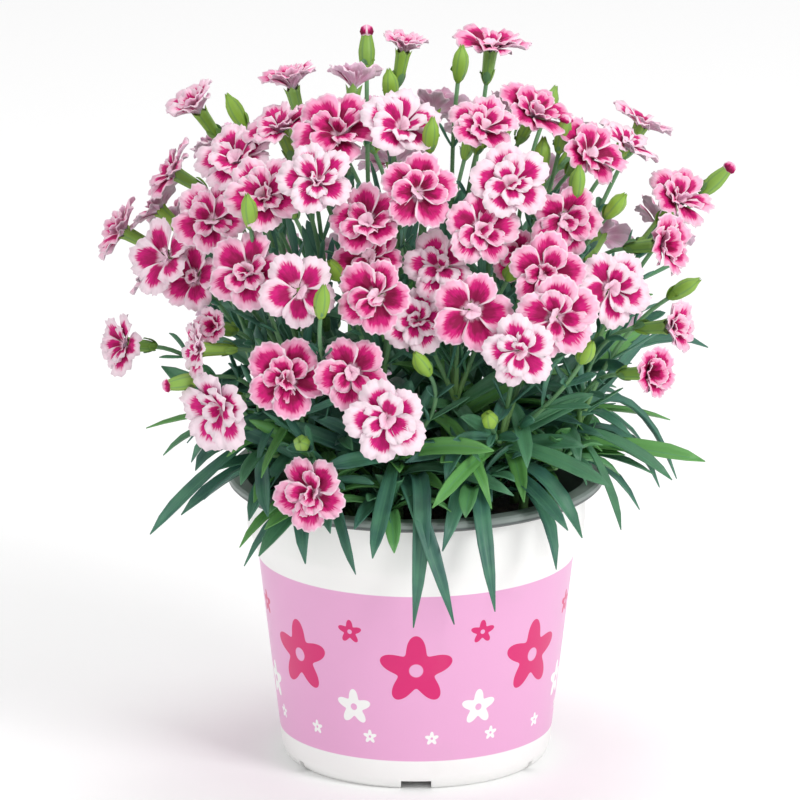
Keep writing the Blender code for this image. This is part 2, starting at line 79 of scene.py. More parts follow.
MM = 0.001
UP = Vector((0, 0, 1))
POT_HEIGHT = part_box("pot")[1][2] / MM
RIM_RADIUS = 65.0
COLLAR_RADIUS = 58.8
COLLAR_FOOT = 83.0
FLANGE_DROP = 3.4
RIM_ROUND = 0.8
WALL = 1.3
BAND_TOP = 71.0
BAND_TOP_RADIUS = 54.4
BAND_BOTTOM = 10.0
BAND_BOTTOM_RADIUS = 47.1
PRINT_TOP = 72.6
PRINT_BOTTOM = 11.0
FOOT_RADIUS = 43.0
FOOT_WIDTH = 2.6
FOOT_HEIGHT = 4.2
SOIL_EDGE = 88.0
SOIL_MIDDLE = 90.5
SOIL_RADIUS = 56.7
GAP = 0.3
print("pot height", round(POT_HEIGHT, 1), "mm")

# %% [markdown]
# ## The camera and the light
# The plant is seen from a little above and from far away, so a long lens stands 6 m off and looks down by
# the same lean that the plant's places are given in. The studio is a pale floor, a bright even sky, a large
# soft lamp from the front right, a weaker one from the left and one from above. A three-point set with small
# lamps would give hard shadows that such a picture doesn't have.

# %% Points along the line of sight
VIEW_LEAN = math.radians(16.5)


def along_view(across, rise, depth):
    """The point seen at across and rise, depth further along the line of sight than the pot's axis."""
    back = rise * math.sin(VIEW_LEAN) + depth * math.cos(VIEW_LEAN)
    height = rise * math.cos(VIEW_LEAN) - depth * math.sin(VIEW_LEAN)
    return Vector((across, back, height))


print("100 mm up the picture is", round(along_view(0, 100, 0).z, 1), "mm up at the pot's axis")

# %% Camera
CAMERA_DISTANCE = 6000.0
PICTURE_WIDTH = 278.1
PICTURE_MIDDLE = (-5.56, 121.8)
SENSOR = 36.0
aim = along_view(*PICTURE_MIDDLE, 0)
bpy.ops.object.select_all(action="DESELECT")
bpy.ops.object.camera_add(location=along_view(*PICTURE_MIDDLE, -CAMERA_DISTANCE) * MM)
camera = bpy.context.object
camera.name = "studio_camera"
camera.rotation_euler = (math.pi / 2 - VIEW_LEAN, 0, 0)
camera.data.sensor_width = SENSOR
camera.data.lens = SENSOR * CAMERA_DISTANCE / PICTURE_WIDTH
bpy.context.scene.camera = camera
print("lens", round(camera.data.lens, 1), "mm")

# %% Sky and lamps
# Each lamp: its name, its place and size in metres, and its power in watts.
SKY_STRENGTH = 0.68
LAMPS = (
    ("key_lamp", (1.1, -1.1, 1.15), 0.6, 15.0),
    ("fill_lamp", (-1.4, -0.9, 0.7), 0.9, 3.0),
    ("top_lamp", (0.1, 0.4, 1.7), 0.8, 8.0),
)
bpy.context.scene.view_settings.view_transform = "Standard"
sky = bpy.data.worlds.new("studio_sky")
sky.use_nodes = True
sky.node_tree.nodes["Background"].inputs["Color"].default_value = (1.0, 1.0, 1.0, 1.0)
sky.node_tree.nodes["Background"].inputs["Strength"].default_value = SKY_STRENGTH
bpy.context.scene.world = sky


def add_lamp(name, place, size, power):
    """A large square lamp that looks at the plant's middle."""
    bpy.ops.object.select_all(action="DESELECT")
    bpy.ops.object.light_add(type="AREA", location=place)
    lamp = bpy.context.object
    lamp.name = name
    lamp.data.energy = power
    lamp.data.size = size
    lamp.rotation_euler = (aim * MM - Vector(place)).to_track_quat("-Z", "Y").to_euler()


for lamp_values in LAMPS:
    add_lamp(*lamp_values)
print("lamps:", len(LAMPS))

# %% [markdown]
# ## Shader maths
# Patterns are sums written as Python: a small class wraps a node's socket, so that adding two of them adds a
# Math node. Colours go through Mix nodes, which keep them coloured. One method makes every other node. Grown
# pieces carry a map that runs across and along each petal, leaf or stem, and a number called shade.

# %% Sockets that add up
GROWTH_MAP = "growth"
SHADE = "shade"
OBJECT_OUTPUT = 3
FACTOR_OUTPUT = 2
COLOUR_OUTPUT = 2


class Flow:
    """A number or colour that flows between a finish's nodes."""

    def __init__(self, finish, socket):
        self.finish = finish
        self.socket = socket

    def maths(self, operation, *values):
        """A Math node on any values, which needn't use this one."""
        return self.finish.node("ShaderNodeMath", {"operation": operation}, dict(enumerate(values)))

    def __add__(self, other):
        return self.maths("ADD", self, other)

    __radd__ = __add__

    def __sub__(self, other):
        return self.maths("SUBTRACT", self, other)

    def __rsub__(self, other):
        return self.maths("SUBTRACT", other, self)

    def __mul__(self, other):
        return self.maths("MULTIPLY", self, other)

    __rmul__ = __mul__

    def __truediv__(self, other):
        return self.maths("DIVIDE", self, other)

    def __pow__(self, other):
        return self.maths("POWER", self, other)

    def __abs__(self):
        return self.maths("ABSOLUTE", self)

    def step(self, low, high):
        """0 below low and 1 above high, with a soft change between; low may be above high."""
        values = {0: self, 1: low, 2: high, 3: 0.0, 4: 1.0}
        return self.finish.node("ShaderNodeMapRange", {"interpolation_type": "SMOOTHSTEP"}, values)


class Finish:
    """A Principled material whose patterns are added node by node."""

    def __init__(self, name, roughness):
        self.material = bpy.data.materials.new(name)
        self.material.use_nodes = True
        self.tree = self.material.node_tree
        self.shader = self.tree.nodes["Principled BSDF"]
        self.shader.inputs["Roughness"].default_value = roughness

    def node(self, kind, settings=None, sockets=None, out=0):
        """A node with its settings, then the values or links of its sockets; gives its output number out."""
        made = self.tree.nodes.new(kind)
        for key, value in (settings or {}).items():
            setattr(made, key, value)
        for key, value in (sockets or {}).items():
            self.feed(made.inputs[key], value)
        return Flow(self, made.outputs[out])

    def feed(self, socket, value):
        """Links a flow to a socket, or sets a plain value on it."""
        if isinstance(value, Flow):
            self.tree.links.new(value.socket, socket)
        else:
            socket.default_value = value

    def blend(self, share, first, second):
        """Goes from the first colour to the second as share goes from 0 to 1."""
        sockets = {0: share, 6: first, 7: second}
        return self.node("ShaderNodeMix", {"data_type": "RGBA"}, sockets, COLOUR_OUTPUT)

    def body(self):
        """The place on the piece, in metres from the frame's origin."""
        return self.node("ShaderNodeTexCoord", None, None, OBJECT_OUTPUT)

    def growth(self):
        """How far across and how far along a petal, leaf or stem, each from 0 to 1."""
        return self.axes(self.node("ShaderNodeUVMap", {"uv_map": GROWTH_MAP}))[:2]

    def shade(self):
        """The number that each copy stores: how deep a flower is, or how young a leaf."""
        return self.node("ShaderNodeAttribute", {"attribute_name": SHADE}, None, FACTOR_OUTPUT)

    def axes(self, vector):
        """The three parts of a vector."""
        parts = self.node("ShaderNodeSeparateXYZ", None, {0: vector}).socket.node
        return [Flow(self, output) for output in parts.outputs]

    def vector(self, x, y, z):
        """Three numbers as one vector."""
        return self.node("ShaderNodeCombineXYZ", None, {0: x, 1: y, 2: z})

    def speckle(self, place, scale, detail=2.0):
        """Soft noise between 0 and 1."""
        return self.node("ShaderNodeTexNoise", None, {"Vector": place, "Scale": scale, "Detail": detail})

    def streaks(self, fineness, across, along, start, detail=1.0):
        """Noise drawn out along a petal or leaf; fineness is how often it changes across and along."""
        return self.speckle(self.vector(across * fineness[0], along * fineness[1], start), 1.0, detail)

    def set(self, name, value):
        """Feeds one of the shader's own sockets."""
        self.feed(self.shader.inputs[name], value)

    def bump(self, height, distance, strength=1.0):
        """Raises the surface by height, in metres times distance."""
        sockets = {"Height": height, "Distance": distance, "Strength": strength}
        self.set("Normal", self.node("ShaderNodeBump", None, sockets))


def tint(code):
    """A colour as painters write it, six hex digits, turned into light by the usual screen curve."""
    parts = [int(code[start:start + 2], 16) / 255 for start in (0, 2, 4)]
    light = [part / 12.92 if part <= 0.04045 else ((part + 0.055) / 1.055) ** 2.4 for part in parts]
    return (*light, 1.0)


print("white is", tint("FFFFFF")[:3])

# %% [markdown]
# ## The finishes
# Each petal has a magenta heart that runs out in feathered rays, a pale toothed margin and a pale throat. The
# pattern follows the petal, so it is drawn on the petal's own map: across from side to side and along from
# throat to margin. How dark a flower is comes from a number stored on its petals. The underside is pale
# lilac, and the heart shows through it faintly. A painted picture would do too, but it would blur close by
# and need a file.

# %% Petal finish
MAGENTA = tint("BE0A60")
CRIMSON = tint("80053A")
HOT_PINK = tint("D6197E")
PALE_MARGIN = tint("F7E3EC")
PINK_MARGIN = tint("F3A3C6")
PALE_HALO = tint("F0AFCB")
PINK_HALO = tint("DE5C96")
THROAT = tint("F7D2E3")
PETAL_ROUGHNESS = 0.6
PETAL_GLOSS = 0.25
VEIN_RELIEF = 0.0003
VEIN_STRENGTH = 0.6
# The heart: how far along the petal it reaches, how much less at the petal's sides and with what curve, what
# a deep tone adds to the reach and takes off the loss, and how soft its edge is.
HEART_REACH = 0.73
HEART_SHRINK = 0.36
HEART_CURVE = 2.2
TONE_REACH = 0.09
TONE_SHRINK = 0.1
HEART_SOFTNESS = 0.045
# Noise shapes it with fine feathers and broad blotches: their fineness across and along the petal, how deep
# they cut, and what the tone is multiplied by, so that they start elsewhere on each flower.
FEATHERS = (30.0, 3.0)
FEATHER_DEPTH = 0.26
FEATHER_START = 41.0
BLOTCHES = (5.0, 4.0)
BLOTCH_DEPTH = 0.2
BLOTCH_START = 23.0
# Where crimson starts and is full inside the heart, its least share, and the same for a pink margin.
CRIMSON_ENDS = (0.02, 0.3)
CRIMSON_LEAST = 0.36
PINK_ENDS = (0.15, 0.95)
# How far from the heart its halo ends, where the throat ends and is full, and how far its edge wavers.
HALO_WIDTH = 0.12
HALO_STRENGTH = 0.7
THROAT_ENDS = (0.3, 0.15)
THROAT_CURVE = 0.14
# Where the white line starts and is full: along the petal's sides, past its throat, and along its margin.
LINE_SIDES = (0.82, 0.94)
LINE_FOOT = (0.1, 0.3)
LINE_MARGIN = (0.93, 0.98)
LINE_STRENGTH = 0.9
PETAL_VEINS = (60.0, 3.0)


def make_petal_finish():
    """Feathered heart, pale margin, throat and the white line along each side of a petal."""
    finish = Finish("petal_velvet", PETAL_ROUGHNESS)
    across, along = finish.growth()
    tone = finish.shade()
    side = abs(across - 0.5) * 2.0
    rays = finish.streaks(FEATHERS, across, along, tone * FEATHER_START, 2.0) - 0.5
    blotch = finish.streaks(BLOTCHES, across, along, tone * BLOTCH_START, 2.0) - 0.5
    reach = HEART_REACH + tone * TONE_REACH - side ** HEART_CURVE * (HEART_SHRINK - tone * TONE_SHRINK)
    reach = reach + rays * FEATHER_DEPTH + blotch * BLOTCH_DEPTH
    heart = (reach - along).step(-HEART_SOFTNESS, HEART_SOFTNESS)
    deep = (reach - along + blotch * 0.5).step(*CRIMSON_ENDS)
    deep = deep * (CRIMSON_LEAST + tone * (1 - CRIMSON_LEAST))
    heart_colour = finish.blend(deep, finish.blend(tone * 0.55, HOT_PINK, MAGENTA), CRIMSON)
    pinkness = (tone + blotch * 0.35).step(*PINK_ENDS)
    near = (along - reach + rays * 0.2).step(HALO_WIDTH, 0.0)
    margin = finish.blend(pinkness, PALE_MARGIN, PINK_MARGIN)
    margin = finish.blend(near * HALO_STRENGTH, margin, finish.blend(pinkness, PALE_HALO, PINK_HALO))
    colour = finish.blend(heart, margin, heart_colour)
    sides = side.step(*LINE_SIDES) * along.step(*LINE_FOOT)
    line = sides.maths("MAXIMUM", sides, along.step(*LINE_MARGIN) * 0.75) * LINE_STRENGTH
    colour = finish.blend(line, colour, PALE_MARGIN)
    throat = (along - side * THROAT_CURVE + rays * THROAT_CURVE).step(*THROAT_ENDS)
    finish.set("Base Color", finish.blend(throat, colour, THROAT))
    veins = finish.streaks(PETAL_VEINS, across, along, tone)
    finish.shader.inputs["Specular IOR Level"].default_value = PETAL_GLOSS
    finish.set("Roughness", 0.5 + veins * 0.25)
    finish.bump(veins, VEIN_RELIEF, VEIN_STRENGTH)
    return finish.material


# %% Petal underside
LILAC = tint("F4CFE6")
LILAC_FOOT = tint("EFE3F3")
HEART_BEHIND = tint("CE6AA2")
UNDERSIDE_VEINS = (40.0, 3.0)


def make_underside_finish():
    """The pale lilac underside of a petal, where the heart shows through faintly."""
    finish = Finish("petal_underside", PETAL_ROUGHNESS)
    across, along = finish.growth()
    veins = finish.streaks(UNDERSIDE_VEINS, across, along, 0.0)
    through = along.step(0.2, 0.45) * along.step(0.85, 0.5) * (0.25 + veins * 0.5)
    colour = finish.blend(along.step(0.35, 0.1), LILAC, LILAC_FOOT)
    finish.set("Base Color", finish.blend(through, colour, HEART_BEHIND))
    finish.shader.inputs["Specular IOR Level"].default_value = PETAL_GLOSS
    finish.bump(veins, VEIN_RELIEF, VEIN_STRENGTH)
    return finish.material


petal_finish = make_petal_finish()
underside_finish = make_underside_finish()
print(petal_finish.name, len(petal_finish.node_tree.nodes), "nodes")

# %% [markdown]
# Leaves are bluish green under a thin wax bloom, with a lighter midrib and fine lines along them, and young
# ones are brighter. Stems, calyces and buds are a fresher green with faint ribs. The same function makes
# both: they differ in their colours, and stems have painted shade in their creases instead of a midrib.

# %% Leaf and stem finish
# Dark, light and young colours of each.
LEAF_GREENS = (tint("33605A"), tint("55906F"), tint("66A650"))
STEM_GREENS = (tint("44735A"), tint("74A577"), tint("8DB53C"))
WAX_BLOOM = 90.0
LEAF_LINES = (34.0, 1.6)
LEAF_LINE_START = 19.0
LINE_RELIEF = 0.0002
SHADED_CREASES_HALF_ROUND = 2.5
MIDRIB_ENDS = (0.07, 0.02)
YOUNG_FOOT = 0.3


def make_green_finish(name, greens, roughness, shaded_creases):
    """A waxy green, lighter on young growth, with a pale midrib or, on round pieces, painted shade in five
    creases.
    """
    dark, light, young = greens
    finish = Finish(name, roughness)
    across, along = finish.growth()
    youth = finish.shade()
    bloom = finish.speckle(finish.body(), WAX_BLOOM, 3.0)
    lines = finish.streaks(LEAF_LINES, across, along, youth * LEAF_LINE_START)
    colour = finish.blend((bloom * 0.8 + lines * 0.35).step(0.3, 0.9), dark, light)
    colour = finish.blend(youth.step(0.35, 1.0), colour, young)
    if shaded_creases:
        # Painted shade: five darker lines round a tube, in the grooves between the ribs of calyces and buds;
        # stems get them without grooves.
        fold = across * SHADED_CREASES_HALF_ROUND
        crease_shade = abs(fold.maths("FRACT", fold) - 0.5).step(0.34, 0.5)
        colour = finish.blend(crease_shade * 0.4, colour, dark)
    else:
        rib = abs(across - 0.5).step(*MIDRIB_ENDS)
        colour = finish.blend(rib * 0.4, colour, light)
    colour = finish.blend(along.step(YOUNG_FOOT, 0.0) * 0.35, colour, young)
    finish.set("Base Color", colour)
    finish.set("Roughness", roughness + bloom * 0.18)
    finish.bump(lines, LINE_RELIEF, 0.5)
    return finish.material


leaf_finish = make_green_finish("leaf_wax", LEAF_GREENS, 0.36, False)
stem_finish = make_green_finish("stem_wax", STEM_GREENS, 0.38, True)
print("greens:", leaf_finish.name, stem_finish.name)

# %% [markdown]
# The pot's plastic is white and slightly glossy. The printed band is pink with rings of five-petalled
# blossoms, large and small. They are drawn by sums on the angle round the pot and the height, so they wrap
# without a seam. The rim and the inside are grey plastic.

# %% Pot finish
POT_WHITE = tint("F4F4F2")
BAND_PINK = tint("E7A9D2")
PRINT_MAGENTA = tint("D6196E")
POT_DUST = tint("B9B4B0")
# Rings of blossoms: how many, how far the ring is turned, how high its middle, their size, and their ink.
BLOSSOMS = (
    (7, 0.5, 45.0, 13.0, PRINT_MAGENTA),
    (7, 0.0, 30.0, 6.6, POT_WHITE),
    (7, 0.0, 58.0, 4.4, PRINT_MAGENTA),
    (14, 0.25, 19.5, 2.6, POT_WHITE),
)
BLOSSOM_PETALS = 5.0
BLOSSOM_WAVE = 0.24
BLOSSOM_EYE = (0.17, 0.2)
PRINT_SOFTNESS = 0.15
INK_SOFTNESS = 0.1
PRINT_RADIUS = 51.0
# Added to the turn round the pot, so that it is never below nothing, where its fraction would jump.
WHOLE_TURNS = 50.0
DUST_FINENESS = 60.0
PLASTIC_GRAIN = 900.0


def make_pot_finish():
    """White plastic with the printed band."""
    finish = Finish("pot_white_print", 0.3)
    body = finish.body()
    x, y, z = finish.axes(body)
    height = z * (1 / MM)
    turn = x.maths("ARCTAN2", x, y * -1.0) / (2 * math.pi)
    above = height.step(PRINT_BOTTOM - PRINT_SOFTNESS, PRINT_BOTTOM + PRINT_SOFTNESS)
    band = above * height.step(PRINT_TOP + PRINT_SOFTNESS, PRINT_TOP - PRINT_SOFTNESS)
    colour = finish.blend(band, POT_WHITE, BAND_PINK)
    girth = 2 * math.pi * PRINT_RADIUS
    for count, shift, level, size, ink in BLOSSOMS:
        cell = turn * count + (shift + WHOLE_TURNS)
        across = (cell.maths("FRACT", cell) - 0.5) * (girth / count)
        up = height - level
        square = across * across + up * up
        radius = square.maths("SQRT", square)
        petal_turn = across.maths("ARCTAN2", across, up) * BLOSSOM_PETALS
        outline = (1 - BLOSSOM_WAVE + petal_turn.maths("COSINE", petal_turn) * BLOSSOM_WAVE) * size
        eye = radius.step(*(size * share for share in BLOSSOM_EYE))
        mask = (outline - radius).step(-INK_SOFTNESS, INK_SOFTNESS) * eye
        colour = finish.blend(mask, colour, ink)
    dust = finish.speckle(body, DUST_FINENESS, 3.0)
    colour = finish.blend(dust.step(0.55, 0.8) * 0.05, colour, POT_DUST)
    finish.set("Base Color", colour)
    finish.set("Roughness", 0.26 + dust * 0.16)
    finish.bump(finish.speckle(body, PLASTIC_GRAIN, 1.0), 0.0001, 0.15)
    return finish.material


# %% Rim finish
RIM_DARK = tint("7D8783")
RIM_LIGHT = tint("949D99")
FLANGE_SHADE = tint("4C5352")
FLOW_MARKS = 45.0
# The heights where the painted shade under the flange fades, above and below.
FLANGE_SHADE_TOP = (100.3, 99.7)
FLANGE_SHADE_BOTTOM = (90.0, 98.0)


def make_rim_finish():
    """Grey plastic with faint flow marks and painted shade, a darker line, along the foot of the flange."""
    finish = Finish("rim_grey", 0.42)
    body = finish.body()
    height = finish.axes(body)[2] * (1 / MM)
    cloud = finish.speckle(body, FLOW_MARKS, 4.0)
    colour = finish.blend(cloud.step(0.3, 0.7), RIM_DARK, RIM_LIGHT)
    # Painted shade: the grey darkens between these heights, where the flange's foot lies in its own shadow.
    under = height.step(*FLANGE_SHADE_TOP) * height.step(*FLANGE_SHADE_BOTTOM) * 0.9
    finish.set("Base Color", finish.blend(under, colour, FLANGE_SHADE))
    finish.set("Roughness", 0.36 + cloud * 0.2)
    finish.bump(cloud, 0.0002, 0.3)
    return finish.material


pot_finish = make_pot_finish()
rim_finish = make_rim_finish()
print("pot finishes:", pot_finish.name, rim_finish.name)

# %% Soil finish
PEAT_BLACK = tint("15110F")
PEAT_BROWN = tint("3A2C22")
PALE_GRAIN = tint("8B7A66")
PEAT_LUMPS = 220.0
PEAT_GRAINS = 900.0


def make_soil_finish():
    """Near-black peat, with brown fibres and a few pale grains."""
    finish = Finish("peat", 0.95)
    body = finish.body()
    lumps = finish.speckle(body, PEAT_LUMPS, 4.0)
    grains = finish.speckle(body, PEAT_GRAINS, 1.0)
    colour = finish.blend(lumps.step(0.35, 0.7), PEAT_BLACK, PEAT_BROWN)
    finish.set("Base Color", finish.blend(grains.step(0.72, 0.78) * 0.5, colour, PALE_GRAIN))
    finish.set("Roughness", 0.86 + lumps * 0.12)
    finish.bump(lumps + grains * 0.4, 0.0015, 0.8)
    return finish.material


soil_finish = make_soil_finish()
print(soil_finish.name)

# %% [markdown]
# ## The pot
# The real pot is a thin sheet drawn over a mould, so it is a round shell with a flat flange, a straight
# collar and a tapering body. It is drawn here as on a lathe: a circle is added at the foot, then pulled up
# and scaled ring by ring over the outside, across the flange and down the inside. A spin of a drawn outline
# would give the same, but the rings keep the places of the steps easy to read.

# %% Editing helpers
WELD_METRES = 0.0001


def alone(piece):
    """Makes a piece the only selected and the active one."""
    bpy.ops.object.select_all(action="DESELECT")
    piece.select_set(True)
    bpy.context.view_layer.objects.active = piece


def finish_with(piece, kind, **settings):
    """Adds a modifier, sets it and applies it."""
    alone(piece)
    modifier = piece.modifiers.new(kind.lower(), kind)
    for key, value in settings.items():
        setattr(modifier, key, value)
    bpy.ops.object.modifier_apply(modifier=modifier.name)


def lathe(name, profile, sides):
    """Pulls a circle up ring by ring through a profile of (radius, height), then welds and closes it."""
    before_radius, before_height = profile[0]
    bpy.ops.object.select_all(action="DESELECT")
    bpy.ops.mesh.primitive_circle_add(vertices=sides, radius=before_radius, location=(0, 0, before_height))
    piece = bpy.context.object
    piece.name = name
    alone(piece)
    bpy.ops.object.transform_apply(location=True, rotation=True, scale=True)
    bpy.ops.object.mode_set(mode="EDIT")
    bpy.ops.mesh.select_all(action="SELECT")
    for radius, height in profile[1:]:
        bpy.ops.mesh.extrude_region_move(TRANSFORM_OT_translate={"value": (0, 0, height - before_height)})
        factor = radius / before_radius
        bpy.ops.transform.resize(value=(factor, factor, 1), center_override=(0, 0, height))
        before_radius, before_height = radius, height
    bpy.ops.mesh.select_all(action="SELECT")
    bpy.ops.mesh.remove_doubles(threshold=WELD_METRES)
    bpy.ops.mesh.select_all(action="DESELECT")
    bpy.ops.mesh.select_non_manifold()
    bpy.ops.mesh.fill_holes(sides=0)
    bpy.ops.mesh.select_all(action="SELECT")
    bpy.ops.mesh.normals_make_consistent(inside=False)
    bpy.ops.object.mode_set(mode="OBJECT")
    return piece


print("helpers:", alone.__name__, finish_with.__name__, lathe.__name__)

# %% Pot shell
# A ring of no size can't be scaled up again, so a profile comes no nearer to the axis than HUB. A ring that
# small is welded into one point.
SHOULDER = COLLAR_FOOT - BAND_TOP
FOOT_CURVE = 5.2
HUB = 0.02
POT_SIDES = 96
outside = [
    (FOOT_RADIUS, 0),
    (BAND_BOTTOM_RADIUS - 1.7, FOOT_CURVE * 0.35),
    (BAND_BOTTOM_RADIUS - 0.4, FOOT_CURVE),
    (BAND_BOTTOM_RADIUS, BAND_BOTTOM),
    (BAND_TOP_RADIUS, BAND_TOP),
    (BAND_TOP_RADIUS + 0.9, BAND_TOP + SHOULDER * 0.38),
    (BAND_TOP_RADIUS + 2.7, BAND_TOP + SHOULDER * 0.7),
    (COLLAR_RADIUS - 0.3, COLLAR_FOOT),
    (COLLAR_RADIUS, POT_HEIGHT - FLANGE_DROP),
    (RIM_RADIUS - RIM_ROUND, POT_HEIGHT - FLANGE_DROP),
    (RIM_RADIUS, POT_HEIGHT - FLANGE_DROP + RIM_ROUND),
    (RIM_RADIUS, POT_HEIGHT - RIM_ROUND),
    (RIM_RADIUS - RIM_ROUND, POT_HEIGHT),
]
inside = [
    (COLLAR_RADIUS + 0.8, POT_HEIGHT),
    (COLLAR_RADIUS - WALL + 0.3, POT_HEIGHT - 2.6),
    (COLLAR_RADIUS - WALL - 0.4, COLLAR_FOOT),
    (BAND_TOP_RADIUS - WALL + 1.2, BAND_TOP + SHOULDER * 0.55),
    (BAND_TOP_RADIUS - WALL, BAND_TOP),
    (BAND_BOTTOM_RADIUS - WALL, BAND_BOTTOM),
    (FOOT_RADIUS - 0.4, FOOT_HEIGHT + WALL),
    (HUB, FOOT_HEIGHT + WALL),
    (HUB, FOOT_HEIGHT),
    (FOOT_RADIUS - FOOT_WIDTH - 1.2, FOOT_HEIGHT),
    (FOOT_RADIUS - FOOT_WIDTH, 0),
]
pot = lathe("pot_shell", [(r * MM, h * MM) for r, h in outside + inside + [(FOOT_RADIUS, 0)]], POT_SIDES)
print("pot rings", len(outside) + len(inside), "faces", len(pot.data.polygons))

# %% Notches in the foot and drain holes
WIDE_NOTCH = 10.4
NARROW_NOTCH = 3.0
NOTCH_HEIGHT = 3.4
NOTCHES = 6
DRAIN_RADIUS = 3.0
DRAIN_CIRCLE = 26.0
DRAIN_SIDES = 24
DRILL_LENGTH = 15.0
EDGE_ROUND = 0.35
SHARP_ANGLE = math.radians(38)
cutters = []
for index in range(NOTCHES):
    width = NARROW_NOTCH if index % 2 else WIDE_NOTCH
    turn = 2 * math.pi * index / NOTCHES
    bpy.ops.object.select_all(action="DESELECT")
    bpy.ops.mesh.primitive_cube_add(size=1, location=(0, 0, 0))
    bpy.ops.transform.resize(value=(width * MM, 4 * FOOT_WIDTH * MM, 2 * NOTCH_HEIGHT * MM))
    notch = bpy.context.object
    notch.rotation_euler.z = turn
    notch.location = Vector((math.sin(turn), -math.cos(turn), 0)) * FOOT_RADIUS * MM
    bpy.ops.object.select_all(action="DESELECT")
    hole_turn = 2 * math.pi * (index + 0.5) / NOTCHES
    ring = Vector((math.cos(hole_turn), math.sin(hole_turn), 0)) * DRAIN_CIRCLE
    bpy.ops.mesh.primitive_cylinder_add(
        vertices=DRAIN_SIDES, radius=DRAIN_RADIUS * MM, depth=DRILL_LENGTH * MM,
        location=(ring + UP * FOOT_HEIGHT) * MM,
    )
    cutters += [notch, bpy.context.object]
for cutter in cutters:
    finish_with(pot, "BOOLEAN", operation="DIFFERENCE", solver="EXACT", object=cutter)
for cutter in cutters:
    bpy.data.objects.remove(cutter, do_unlink=True)
finish_with(pot, "BEVEL", width=EDGE_ROUND * MM, segments=2, limit_method="ANGLE", angle_limit=SHARP_ANGLE)
print("pot faces after its holes", len(pot.data.polygons))

# %% Pot finish and place in the frame
# The rim and all that faces inwards are grey, and so is the pot's floor, which faces up, below the soil.
GREY_TOP = POT_HEIGHT - FLANGE_DROP - 0.3
FLOOR_BELOW = 90.0
FACES_IN = -0.2
FACES_UP = 0.5
SMOOTH_ANGLE = math.radians(35)


def ride(piece, slot, *nodes):
    """Gives a finished piece its body and hides the CAD nodes it stands for; slot is not used."""
    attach(piece, "root")
    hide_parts(*nodes)


pot.data.materials.clear()
pot.data.materials.append(pot_finish)
pot.data.materials.append(rim_finish)
for face in pot.data.polygons:
    outward = Vector((face.center.x, face.center.y, 0)).normalized().dot(face.normal)
    within = outward < FACES_IN or (face.normal.z > FACES_UP and face.center.z < FLOOR_BELOW * MM)
    if within or face.center.z > GREY_TOP * MM:
        face.material_index = 1
alone(pot)
bpy.ops.object.shade_smooth_by_angle(angle=SMOOTH_ANGLE)
ride(pot, "pot_plastic", "pot")
print("grey faces", sum(face.material_index for face in pot.data.polygons))

# %% [markdown]
# ## The soil
# Peat fills the pot to a finger's width under the rim. The block is turned on the same lathe, then its top is
# shaken by noise, and small crumbs lie on it. A displaced sheet alone would look like cloth, and the crumbs
# give the broken edge that peat has.

# %% Soil block
SOIL_GAP = 0.4
SOIL_SIDES = 72
SOIL_RINGS = 16
LUMP_FINENESS = 260
LUMP_HEIGHT = 1.1
soil_profile = [
    (HUB, FOOT_HEIGHT + WALL + SOIL_GAP),
    (FOOT_RADIUS - 0.8, FOOT_HEIGHT + WALL + SOIL_GAP),
    (BAND_TOP_RADIUS - WALL - SOIL_GAP, BAND_TOP),
    (BAND_TOP_RADIUS - WALL + 0.8, BAND_TOP + SHOULDER * 0.55),
    (SOIL_RADIUS, COLLAR_FOOT),
    (SOIL_RADIUS, SOIL_EDGE - 1.2),
]
for ring in range(SOIL_RINGS):
    share = ring / SOIL_RINGS
    level = SOIL_EDGE - SOIL_GAP + (SOIL_MIDDLE - SOIL_EDGE) * share
    soil_profile.append((SOIL_RADIUS * (1 - share) - 0.3, level))
soil_profile.append((HUB, SOIL_MIDDLE - SOIL_GAP))
soil = lathe("soil_block", [(r * MM, h * MM) for r, h in soil_profile], SOIL_SIDES)
for vertex in soil.data.vertices:
    if vertex.co.z > (SOIL_EDGE - 0.8) * MM:
        vertex.co.z += noise.noise(vertex.co * LUMP_FINENESS) * LUMP_HEIGHT * MM
soil.data.materials.clear()
soil.data.materials.append(soil_finish)
soil.data.shade_smooth()
ride(soil, "soil", "soil")
print("soil faces", len(soil.data.polygons))

# %% Copies gathered into one mesh


class Pile:
    """Copies of modelled shapes in one mesh, with a growth map and a shade number on every point."""

    def __init__(self):
        self.points = []
        self.faces = []
        self.maps = []
        self.shades = []

    def add(self, shape, place, shade):
        """Adds a copy of shape; place turns each of its points into millimetres and a place on the map."""
        points, faces = shape
        first = len(self.points)
        for point in points:
            where, spot = place(point)
            self.points.append(where * MM)
            self.maps.append(spot)
            self.shades.append(shade)
        self.faces += [[index + first for index in face] for face in faces]

    def build(self, name, finishes, thickness=0.0):
        """The mesh as a new piece; sheets get a thickness, and the last finish on their underside."""
        mesh = bpy.data.meshes.new(name)
        mesh.from_pydata(self.points, [], self.faces)
        layer = mesh.uv_layers.new(name=GROWTH_MAP)
        for loop in mesh.loops:
            layer.data[loop.index].uv = self.maps[loop.vertex_index]
        shade = mesh.attributes.new(SHADE, "FLOAT", "POINT")
        shade.data.foreach_set("value", self.shades)
        for finish in finishes:
            mesh.materials.append(finish)
        mesh.shade_smooth()
        piece = bpy.data.objects.new(name, mesh)
        bpy.context.scene.collection.objects.link(piece)
        if thickness:
            under = len(finishes) - 1
            finish_with(piece, "SOLIDIFY", thickness=thickness * MM, offset=0.0, material_offset=under)
        return piece


def as_shape(piece):
    """The points and faces of a modelled shape, which is then removed."""
    points = [vertex.co.copy() for vertex in piece.data.vertices]
    faces = [list(face.vertices) for face in piece.data.polygons]
    bpy.data.objects.remove(piece, do_unlink=True)
    return points, faces


print("a new pile holds", len(Pile().points), "points")

